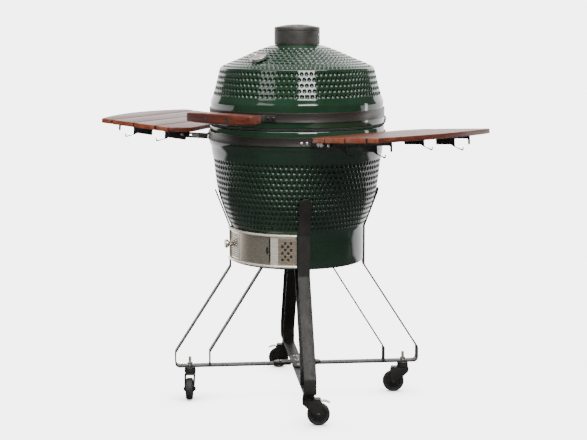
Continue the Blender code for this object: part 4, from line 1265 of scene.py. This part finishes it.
def buildJoiner():
    low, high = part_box("cross_joiner")
    half, reach = cart["width"] / 2, 0.082
    outline = []
    for turn in range(4):
        spin = Matrix.Rotation(math.radians(90 * turn + 45), 2)
        for i in range(13):
            angle = math.radians(-90 + 180 * i / 12)
            x = reach - half + half * math.cos(angle)
            outline.append(spin @ Vector((x, half * math.sin(angle))))
        outline.append(spin @ Vector((half, half)))
    bm = bmesh.new()
    addPlate(bm, outline, low[2], high[2], toBowl, 0.0008)
    newPiece("crossJoiner", bm, "base", blackSteel, ["cross_joiner"])
    bm = bmesh.new()
    for turn in range(4):
        spot = around(90 * turn + 45, 0.062, high[2])
        addBolt(bm, toBowl @ spot, (0, 0, 1), 0.0065, 0.0045)
        spot.z = 0.1088
        addBolt(bm, toBowl @ spot, (0, 0, -1), 0.0065, 0.0060, True)
    addBolt(bm, (0, bowlY, high[2]), (0, 0, 1), 0.0075, 0.005)
    newPiece("joinerBolts", bm, "base", zinc)
    bm = bmesh.new()        # weld beads at the feet of the inner straps
    for leg in legNames:
        spot = swivels[leg] - Vector((0, bowlY, 0))
        turn = math.atan2(spot.y, spot.x)
        for side in (-1, 1):
            foot = Matrix.Translation((0.304 + side * 0.0032, 0, 0.1142))
            addBead(bm, cart["width"] - 0.004, 0.0017, toBowl @ Matrix.Rotation(turn, 4, "Z") @ foot)
    newPiece("weldBeads", bm, "base", blackSteel)


def addBead(bm, length, radius, place):
    part = bmesh.new()
    count = 18
    profile = [(0, -length / 2)]
    for i in range(count + 1):
        along = -length / 2 + length * (0.03 + 0.94 * i / count)
        profile.append((radius * (0.82 + 0.18 * (i % 2)), along))
    profile.append((0, length / 2))
    addSpin(part, profile, 10, closed=False)
    cleanUp(part)
    bmesh.ops.rotate(part, verts=part.verts, matrix=Matrix.Rotation(math.radians(90), 3, "X"))
    addPart(bm, part, place)


buildCart()
buildJoiner()
print("cart made")


# casters

caster = {"trail": 0.032, "radius": 0.0374, "half": 0.0130, "forkTop": 0.1034, "crown": 0.0885,
          "cheekIn": 0.0145, "cheekOut": 0.0169}


def casterPlace(leg):
    # a frame on the swivel whose X points to the wheel's axle
    spot = Vector(swivels[leg])
    axle = Vector(joints["roll_" + leg]["pos_m"])
    along = Vector((axle.x - spot.x, axle.y - spot.y, 0)).normalized()
    across = Vector(joints["roll_" + leg]["axis"])
    turn = Matrix((along, across, Vector((0, 0, 1)))).transposed().to_4x4()
    return Matrix.Translation((spot.x, spot.y, 0)) @ turn


def buildWheel(leg):
    place = casterPlace(leg) @ Matrix.Translation((caster["trail"], 0, caster["radius"])) @ \
        Matrix.Rotation(math.radians(90), 4, "X")
    r, half = caster["radius"], caster["half"]
    tread = [(r - 0.0085, 0.0108), (r - 0.0060, 0.0118), (r - 0.0032, 0.0112), (r - 0.0012, 0.0092),
             (r - 0.0002, 0.0060), (r, 0.0020)]
    tyre = tread + [(radius, -height) for radius, height in reversed(tread)]
    bm = bmesh.new()
    addSpin(bm, tyre, 72)
    cleanUp(bm)
    newPiece("tyre_" + leg, bm, "caster_wheel_" + leg, tyreRubber, place=place)
    rim = [(0.0044, half), (0.0092, half), (0.0104, 0.0118), (0.0112, 0.0070), (0.0225, 0.0056),
           (0.0240, 0.0098), (r - 0.0080, 0.0106)]
    hub = rim + [(radius, -height) for radius, height in reversed(rim)]
    bm = bmesh.new()
    addSpin(bm, hub, 60)
    cleanUp(bm)
    for i in range(5):
        spin = Matrix.Rotation(math.radians(72 * i), 4, "Z")
        for side in (-1, 1):
            low, high = sorted((side * 0.0045, side * 0.0096))
            addBox(bm, (0.0098, -0.0016, low), (0.0246, 0.0016, high), spin, 0.0005)
    newPiece("hub_" + leg, bm, "caster_wheel_" + leg, hubPlastic, ["caster_wheel_" + leg],
             place)


def buildFork(leg):
    place = casterPlace(leg)
    inner, outer, trail = caster["cheekIn"], caster["cheekOut"], caster["trail"]
    axleZ = caster["radius"]
    outline = [(-0.0205, caster["crown"]), (-0.0212, 0.0800), (-0.0185, 0.0715)]
    outline += [(trail + 0.0098 * math.cos(math.radians(a)), axleZ + 0.0098 * math.sin(math.radians(a)))
                for a in range(205, 386, 18)]
    outline += [(0.0440, 0.0600), (0.0430, 0.0740), (0.0385, caster["crown"])]
    bm = bmesh.new()
    for side in (-1, 1):
        low, high = sorted((side * inner, side * outer))
        addPlate(bm, outline, low, high, place @ upright, 0.0006)
    bmesh.ops.recalc_face_normals(bm, faces=bm.faces)
    crown = caster["crown"]
    addBox(bm, (-0.0200, -outer, crown - 0.003), (0.0382, outer, crown), place, 0.0008)
    top = caster["forkTop"]
    races = [(0, top), (0.0175, top), (0.0192, top - 0.0012), (0.0194, top - 0.0052),
             (0.0186, top - 0.0060), (0.0186, top - 0.0070), (0.0197, top - 0.0078),
             (0.0200, top - 0.0135), (0.0188, 0.0880), (0, 0.0880)]
    addTurned(bm, races, 48, place)
    newPiece("fork_" + leg, bm, "caster_fork_" + leg, blackSteel, ["caster_fork_" + leg])
    bm = bmesh.new()
    axle = place @ Matrix.Translation((trail, 0, axleZ)) @ Matrix.Rotation(math.radians(90), 4, "X")
    addTurned(bm, [(0, 0.0165), (0.0040, 0.0165), (0.0040, -0.0165), (0, -0.0165)], 20, axle)
    sideways = place.to_3x3() @ Vector((0, 1, 0))
    centre = place @ Vector((trail, 0, axleZ))
    addBolt(bm, centre + sideways * 0.0168, sideways, 0.0068, 0.0046, True)
    addBolt(bm, centre - sideways * 0.0168, -sideways, 0.0068, 0.0040)
    newPiece("axle_" + leg, bm, "caster_fork_" + leg, bandSteel)


def buildStem(leg):
    place = Matrix.Translation((swivels[leg].x, swivels[leg].y, 0))
    bm = bmesh.new()
    under = cart["beamTop"] - 0.0053
    profile = [(0.0, 0.1438), (0.0034, 0.1438), (0.0046, 0.1428)]
    z = 0.1426
    while z > 0.1245:       # rolled thread as close rings
        profile += [(0.0055, z), (0.0048, z - 0.0006)]
        z -= 0.0012
    profile += [(0.0052, 0.1240), (0.0052, under), (0.0148, under - 0.0002), (0.0150, under - 0.0010),
                (0.0150, caster["forkTop"] + 0.0006), (0.0, caster["forkTop"] + 0.0006)]
    addTurned(bm, profile, 28, place)
    spot = Vector((swivels[leg].x, swivels[leg].y, cart["beamTop"] + 0.0002))
    addTurned(bm, [(0.0052, 0.0016), (0.0118, 0.0016), (0.0120, 0.0002), (0.0052, 0.0002)], 28,
              Matrix.Translation(spot), True)
    addBolt(bm, spot + Vector((0, 0, 0.0016)), (0, 0, 1), 0.0098, 0.0080, True)
    newPiece("stem_" + leg, bm, "base", zinc, ["caster_stem_" + leg])


def buildBrake(leg):
    place = casterPlace(leg)
    corners = ((0.0150, 0.0803), (0.0300, 0.0806), (0.0520, 0.0814), (0.0698, 0.0764))
    path = roundedPath([Vector(corner) for corner in corners], 0.010, 4)
    bm = bmesh.new()
    addRibbon(bm, path, 0.0236)
    piece = newPiece("brake_" + leg, bm, "brake_lever_" + leg, zinc, ["brake_lever_" + leg],
                     place)
    addThickness(piece, 0.0026, 0.0007)
    bm = bmesh.new()
    for i in range(4):      # ridges that a shoe grips
        x = 0.0465 + i * 0.0042
        addBox(bm, (x, -0.0095, 0.0818), (x + 0.0014, 0.0095, 0.0838), place, 0.0003)
    newPiece("brakeRidges_" + leg, bm, "brake_lever_" + leg, zinc)


for leg in legNames:
    buildWheel(leg)
    buildFork(leg)
    buildStem(leg)
    if "brake_" + leg in joints:
        buildBrake(leg)
print("casters made")


# side shelves

shelf = {"half": 0.2545, "thickness": 0.0158, "under": 0.0121,
         "edges": (-0.015, 0.062, 0.153, 0.245, 0.291), "gap": 0.005, "bow": 0.045, "barPlace": 0.175,
         "names": ("inner", "second", "third", "outer")}


def shelfPlace(side):
    # on the fold axis: Y along the shelf, X outwards and a little up, Z out of the boards
    joint = joints["shelf_%s_fold" % side]
    along = Vector(joint["axis"]).normalized()
    normal = Vector(mounts["shelf_top_" + side]["axis"]).normalized()
    out = along.cross(normal).normalized()
    turn = Matrix((out, along, normal)).transposed().to_4x4()
    return Matrix.Translation(joint["pos_m"]) @ turn


def slatOutline(name):
    edges, half, slit = shelf["edges"], shelf["half"], shelf["gap"] / 2
    if name == "inner":
        bay = [(0.0100, -half), (-0.0030, -half + 0.009), (-0.0150, -half + 0.030), (-0.0300, -0.206),
               (-0.0375, -0.188), (-0.0380, -0.165), (-0.0365, -0.145), (-0.0300, -0.110),
               (-0.0245, -0.070), (-0.0210, -0.030), (-0.0200, 0.0)]
        bay += [(x, -y) for x, y in reversed(bay[:-1])]
        return [(edges[1] - slit, -half), (edges[1] - slit, half)] + bay[::-1]
    if name == "outer":
        bow = []
        for i in range(25):
            y = -half + 2 * half * i / 24
            bow.append((edges[4] + shelf["bow"] * (1 - (y / half) ** 2), y))
        return [(edges[3] + slit, half), (edges[3] + slit, -half)] + bow
    i = shelf["names"].index(name)
    low, high = edges[i] + slit, edges[i + 1] - slit
    return [(low, -half), (high, -half), (high, half), (low, half)]


def crossbarOutline():
    top = shelf["under"] - 0.0004
    waist = top - 0.0117
    deep = top - 0.0307
    outline = [(-0.0130, top), (-0.0130, deep + 0.003), (-0.0100, deep)]
    for start, end, hook in ((-0.0130, 0.0755, 0.1105), (0.1290, 0.2090, 0.2430)):
        if start > 0:
            outline += [(start - 0.002, waist), (start, waist - 0.002), (start, deep + 0.001),
                        (start + 0.001, deep)]
        outline += [(end - 0.016, deep), (end - 0.004, deep - 0.0062), (hook - 0.0045, deep - 0.0186),
                    (hook - 0.0015, deep - 0.0190), (hook + 0.0008, deep - 0.0178),
                    (hook + 0.0028, deep - 0.0085), (hook + 0.0022, deep - 0.0074),
                    (hook + 0.0002, deep - 0.0076), (hook - 0.0018, deep - 0.0150),
                    (end + 0.0060, deep - 0.0078), (end + 0.0015, deep - 0.0050), (end, deep - 0.0020),
                    (end, waist - 0.002), (end + 0.002, waist)]
    outline += [(0.2640, waist), (0.2660, waist - 0.002), (0.2662, deep + 0.003),
                (0.2680, deep + 0.0005), (0.2715, deep + 0.0005), (0.2733, deep + 0.003), (0.2735, top)]
    return outline


def buildShelf(side, number):
    place = shelfPlace(side)
    body = "shelf_" + side
    rng = random.Random(11 + number)
    for name in shelf["names"]:
        bm = bmesh.new()
        part = bmesh.new()
        outline = slatOutline(name)
        under, top = shelf["under"], shelf["under"] + shelf["thickness"]
        face = part.faces.new([part.verts.new((x, y, under)) for x, y in outline])
        raised = bmesh.ops.extrude_face_region(part, geom=[face])
        tops = [item for item in raised["geom"] if isinstance(item, bmesh.types.BMVert)]
        bmesh.ops.translate(part, vec=(0, 0, top - under), verts=tops)
        bmesh.ops.recalc_face_normals(part, faces=part.faces)
        corners = [edge for edge in part.edges
                   if abs(edge.verts[0].co.z - edge.verts[1].co.z) > 0.01
                   and edge.calc_face_angle(0) > math.radians(60)]
        cornerRadius = 0.006 if name in ("inner", "outer") else 0.0012
        bmesh.ops.bevel(part, geom=corners, offset=cornerRadius, segments=4, profile=0.5,
                        affect="EDGES", clamp_overlap=True, material=-1)
        rims = [edge for edge in part.edges if edge.calc_face_angle(0) > math.radians(60)]
        bmesh.ops.bevel(part, geom=rims, offset=0.0028, segments=3, profile=0.5, affect="EDGES",
                        clamp_overlap=True, material=-1)
        addPart(bm, part)
        tagBoard(bm, rng.uniform(-3, 3))
        bm.normal_update()
        for face in bm.faces:       # painted shade on the board sides along the gaps, bare grain at their ends
            spot = face.calc_center_median()
            between = min(abs(spot.x - edge) for edge in shelf["edges"][1:4]) < shelf["gap"]
            if abs(face.normal.x) > 0.6 and between:
                face.material_index = 1
            elif abs(face.normal.y) > 0.6 and abs(spot.y) > shelf["half"] - 0.004:
                face.material_index = 2
        newPiece("slat_%s_%s" % (side, name), bm, body, woods[side],
                 ["shelf_slat_%s_%s" % (side, name)], place, extra=(paintedGapShade, endGrain))
    for along in (-shelf["barPlace"], shelf["barPlace"]):
        backwards = (along > 0) == (side == "right")
        end = "back" if backwards else "front"
        bm = bmesh.new()
        addPlate(bm, crossbarOutline(), along - 0.0014, along + 0.0014, place @ upright, 0.0005)
        # a top flange folded under the boards takes the screws
        inwards = -1 if along > 0 else 1
        low, high = sorted((along, along + inwards * 0.016))
        under = shelf["under"]
        addBox(bm, (-0.0100, low, under - 0.0026), (0.2700, high, under - 0.0004), place, 0.0005)
        bmesh.ops.recalc_face_normals(bm, faces=bm.faces)
        newPiece("crossbar_%s_%s" % (side, end), bm, body, blackSteel,
                 ["shelf_crossbar_%s_%s" % (side, end)])
        bm = bmesh.new()
        for x in (0.020, 0.045, 0.095, 0.125, 0.180, 0.215, 0.252):
            spot = place @ Vector((x, along + inwards * 0.009, shelf["under"] - 0.0026))
            addBolt(bm, spot, place.to_3x3() @ Vector((0, 0, -1)), 0.0042, 0.0028)
        newPiece("slatScrews_%s_%s" % (side, end), bm, body, zinc)


def buildShelfBracket(side, end):
    node = "shelf_bracket_%s_%s" % (side, end)
    low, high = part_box(node)
    joint = joints["shelf_%s_fold" % side]
    along = Vector(joint["axis"])
    backwards = end == "back"
    sign = 1 if backwards == (side == "right") else -1
    turn = math.atan2(-along.x, along.y)        # the bearing frame: X outwards, level
    out = (Vector(joint["pos_m"]) - Vector((0, bowlY, 0))).to_2d().length
    placeIn = shelf["barPlace"] - 0.0045
    radius = 0.3036
    bend = math.asin(placeIn / radius)
    bearing = toBowl @ Matrix.Rotation(turn, 4, "Z")
    flange = [(radius * math.cos(bend - a), sign * radius * math.sin(bend - a))
              for a in (0.21, 0.14, 0.07, 0.025)]
    reach = out + 0.0085
    path = flange + [(0.262, sign * placeIn), (reach, sign * placeIn)]
    z = (low[2] + high[2]) / 2
    half = (high[2] - low[2]) / 2
    # plan path of the bend, then a plate with a slot and a round end
    points = roundedPath([Vector(p) for p in path[:5]] + [Vector((0.282, sign * placeIn))], 0.004, 3)
    name = "shelfBracket_%s_%s" % (side, end)
    bentStrip(name, [(p.x, p.y) for p in points], z - half, z + half, "base", [node], bearing)
    bm = bmesh.new()
    slotStart, slotEnd, slotHalf = 0.290, 0.326, 0.0028
    outer = [(0.2815, -half)]
    for turned in range(0, 181, 15):
        angle = math.radians(turned)
        outer.append((reach - half + half * math.sin(angle), -half * math.cos(angle)))
    outer.append((0.2815, half))
    addSlottedPlate(bm, outer, (slotStart, slotEnd, slotHalf), reach - half)
    plane = bearing @ Matrix.Translation((0, sign * placeIn, z)) @ upright
    bmesh.ops.transform(bm, matrix=plane, verts=bm.verts)
    bmesh.ops.recalc_face_normals(bm, faces=bm.faces)
    plate = newPiece(name + "Plate", bm, "base", blackSteel)
    addThickness(plate, 0.0030, 0.0005)
    bm = bmesh.new()
    across = bearing.to_3x3() @ Vector((0, sign, 0))
    pivot = bearing @ Vector((out, sign * placeIn, joint["pos_m"][2]))
    shank = [(0, 0.0090), (0.0038, 0.0090), (0.0038, -0.0030), (0, -0.0030)]
    addTurned(bm, shank, 20, aim(pivot, across))
    addBolt(bm, pivot - across * 0.0016, -across, 0.0070, 0.0040)
    addBolt(bm, pivot + across * 0.0062, across, 0.0066, 0.0045, True)
    washer = [(0, 0.0026), (0.0068, 0.0026), (0.0068, -0.0026), (0, -0.0026)]
    for x in (slotStart + 0.004, slotStart + 0.0185):      # two washers clamp the slot
        addTurned(bm, washer, 24, aim(bearing @ Vector((x, sign * placeIn, z)), across))
    newPiece(name + "Bolts", bm, "base", zinc)
    bm = bmesh.new()
    for angle in (0.10, 0.165):
        direction = Vector((math.cos(bend - angle), sign * math.sin(bend - angle), 0))
        spot = bearing @ Vector((direction.x * (radius + 0.0014), direction.y * (radius + 0.0014), z))
        addBolt(bm, spot, bearing.to_3x3() @ direction)
    newPiece(name + "FlangeBolts", bm, "base", blackSteel)


def addSlottedPlate(bm, outer, slot, centre):
    # quads between the outer edge and a long round-ended slot
    start, end, half = slot
    inner = []
    for x, z in outer:
        if x > centre - 0.004:
            angle = math.atan2(z, x - centre + 0.004)
            inner.append((end - half + half * math.cos(angle), half * math.sin(angle)))
        else:
            inner.append((start, half if z > 0 else -half))
    ring = [bm.verts.new((x, z, 0)) for x, z in outer]
    hole = [bm.verts.new((x, z, 0)) for x, z in inner]
    count = len(outer)
    for k in range(count):
        m = (k + 1) % count
        bm.faces.new((ring[k], ring[m], hole[m], hole[k]))


for number, side in enumerate(("right", "left")):
    buildShelf(side, number)
    for end in ("front", "back"):
        buildShelfBracket(side, end)
print("shelves made")


# pieces inside the bowl keep their shape and get their finish

inside = {"fire_box": clay, "fire_ring": clay, "charcoal_grate": castIron, "cooking_grate": stainless}
for node, finish in inside.items():
    item = frame["nodes"][node]
    item.data.materials.clear()
    item.data.materials.append(finish)
print("inner parts finished")


# studio: floor, soft lights and camera

studio = {"azimuth": 39.25, "distance": 4.743, "height": 1.340, "pitch": 8.69, "lens": 85.61,
          "shift": -0.0061, "floorRadius": 60, "white": 5.2, "dim": 0.06, "worldStrength": 3.2,
          "ceiling": 0.22, "floorGlow": 2.4}


def studioPoint(turn, distance, height):
    # turn counts from the camera's own direction, to its right
    return around(studio["azimuth"] + turn, distance, height) + Vector((0, bowlY, 0))


def addSoftbox(name, turn, distance, height, size, power, target=0.95, colour=(1, 1, 1)):
    data = bpy.data.lights.new(name, "AREA")
    data.shape = "RECTANGLE"
    data.size, data.size_y = size
    data.energy = power
    data.color = colour
    lamp = bpy.data.objects.new(name, data)
    lamp.location = studioPoint(turn, distance, height)
    towards = Vector((0, bowlY, target)) - lamp.location
    lamp.rotation_euler = towards.to_track_quat("-Z", "Y").to_euler()
    bpy.context.scene.collection.objects.link(lamp)


def addFloor():
    bm = bmesh.new()
    bmesh.ops.create_circle(bm, cap_ends=True, segments=96, radius=studio["floorRadius"])
    mesh = bpy.data.meshes.new("studioFloor")
    bm.to_mesh(mesh)
    bm.free()
    floor = bpy.data.objects.new("studioFloor", mesh)
    floor.location.z = cadBounds[0][2] - 0.0002
    pale = newMaterial("paleFloor", (0.13, 0.13, 0.13), 0.8)
    tree = pale.node_tree
    shade = tree.nodes.new("ShaderNodeAmbientOcclusion")     # a soft touch of shade under the wheels
    shade.inputs["Distance"].default_value = 0.12
    shade.samples = 8
    ramp = rampOn(pale, shade.outputs["AO"], [(0.25, (0.10, 0.10, 0.10)), (0.95, (1, 1, 1))])
    glow = tree.nodes.new("ShaderNodeEmission")
    glow.inputs["Strength"].default_value = studio["white"]
    rays = tree.nodes.new("ShaderNodeLightPath")
    mix = tree.nodes.new("ShaderNodeMixShader")
    tree.links.new(ramp, glow.inputs["Color"])
    # to every other ray the floor is lit behind the grill, like a bright sweep
    coords = tree.nodes.new("ShaderNodeTexCoord")
    depth = tree.nodes.new("ShaderNodeVectorMath")
    depth.operation = "DOT_PRODUCT"
    depth.inputs[1].default_value = -outward(studio["azimuth"])
    spread = tree.nodes.new("ShaderNodeMapRange")
    for socket, value in (("From Min", 0.9), ("From Max", 1.3), ("To Min", 0.0),
                          ("To Max", studio["floorGlow"])):
        spread.inputs[socket].default_value = value
    sweep = tree.nodes.new("ShaderNodeEmission")
    both = tree.nodes.new("ShaderNodeAddShader")
    tree.links.new(coords.outputs["Object"], depth.inputs[0])
    tree.links.new(depth.outputs["Value"], spread.inputs["Value"])
    tree.links.new(spread.outputs["Result"], sweep.inputs["Strength"])
    tree.links.new(tree.nodes["Principled BSDF"].outputs["BSDF"], both.inputs[0])
    tree.links.new(sweep.outputs["Emission"], both.inputs[1])
    tree.links.new(rays.outputs["Is Camera Ray"], mix.inputs["Fac"])
    tree.links.new(both.outputs["Shader"], mix.inputs[1])
    tree.links.new(glow.outputs["Emission"], mix.inputs[2])
    tree.links.new(mix.outputs["Shader"], tree.nodes["Material Output"].inputs["Surface"])
    mesh.materials.append(pale)
    bpy.context.scene.collection.objects.link(floor)


def addWorld():
    # white behind and above, dim in front, so the glaze shows clear bright rims
    world = bpy.data.worlds.new("studioWorld")
    bpy.context.scene.world = world
    world.use_nodes = True
    tree = world.node_tree
    back = tree.nodes["Background"]
    coords = tree.nodes.new("ShaderNodeTexCoord")
    dot = tree.nodes.new("ShaderNodeVectorMath")
    dot.operation = "DOT_PRODUCT"
    dot.inputs[1].default_value = -outward(studio["azimuth"])
    parts = tree.nodes.new("ShaderNodeSeparateXYZ")
    rise = tree.nodes.new("ShaderNodeMath")
    rise.operation = "MULTIPLY"
    rise.inputs[1].default_value = 0.9
    most = tree.nodes.new("ShaderNodeMath")
    most.operation = "MAXIMUM"
    ramp = tree.nodes.new("ShaderNodeValToRGB")
    ramp.color_ramp.elements[0].position = 0.61
    ramp.color_ramp.elements[0].color = (studio["dim"], studio["dim"], studio["dim"], 1)
    ramp.color_ramp.elements[1].position = 0.67
    ramp.color_ramp.elements[1].color = (1, 1, 1, 1)
    tree.links.new(coords.outputs["Generated"], dot.inputs[0])
    tree.links.new(coords.outputs["Generated"], parts.inputs["Vector"])
    tree.links.new(parts.outputs["Z"], rise.inputs[0])
    tree.links.new(dot.outputs["Value"], most.inputs[0])
    tree.links.new(rise.outputs["Value"], most.inputs[1])
    tree.links.new(most.outputs["Value"], ramp.inputs["Fac"])
    tree.links.new(ramp.outputs["Color"], back.inputs["Color"])
    fade = tree.nodes.new("ShaderNodeMapRange")     # the white falls off towards the ceiling
    for socket, value in (("From Min", 0.50), ("From Max", 0.72), ("To Min", studio["worldStrength"]),
                          ("To Max", studio["worldStrength"] * studio["ceiling"])):
        fade.inputs[socket].default_value = value
    tree.links.new(parts.outputs["Z"], fade.inputs["Value"])
    tree.links.new(fade.outputs["Result"], back.inputs["Strength"])
    sky = tree.nodes.new("ShaderNodeBackground")
    sky.inputs["Color"].default_value = (1, 1, 1, 1)
    sky.inputs["Strength"].default_value = studio["white"]
    rays = tree.nodes.new("ShaderNodeLightPath")
    mix = tree.nodes.new("ShaderNodeMixShader")
    tree.links.new(rays.outputs["Is Camera Ray"], mix.inputs["Fac"])
    tree.links.new(back.outputs["Background"], mix.inputs[1])
    tree.links.new(sky.outputs["Background"], mix.inputs[2])
    tree.links.new(mix.outputs["Shader"], tree.nodes["World Output"].inputs["Surface"])


def buildStudio():
    addFloor()
    addWorld()
    addSoftbox("overhead", 20, 0.9, 3.6, (2.2, 1.8), 90)
    addSoftbox("frontStrip", 0, 2.0, 3.75, (4.4, 0.60), 95)
    addSoftbox("keyBox", 14, 3.0, 2.53, (1.30, 0.95), 85, 1.1)
    addSoftbox("fillBox", -43, 3.0, 2.50, (1.25, 0.90), 14, 1.1)
    addSoftbox("lowRight", 100, 3.4, 0.9, (0.35, 1.6), 14, 0.9)


def buildCamera():
    data = bpy.data.cameras.new("view")
    data.lens = studio["lens"]
    data.sensor_width = 36
    data.shift_x = studio["shift"]
    camera = bpy.data.objects.new("view", data)
    camera.location = studioPoint(0, studio["distance"], studio["height"])
    camera.rotation_euler = (math.radians(90 - studio["pitch"]), 0, math.radians(studio["azimuth"]))
    bpy.context.scene.collection.objects.link(camera)
    bpy.context.scene.camera = camera


buildStudio()
buildCamera()
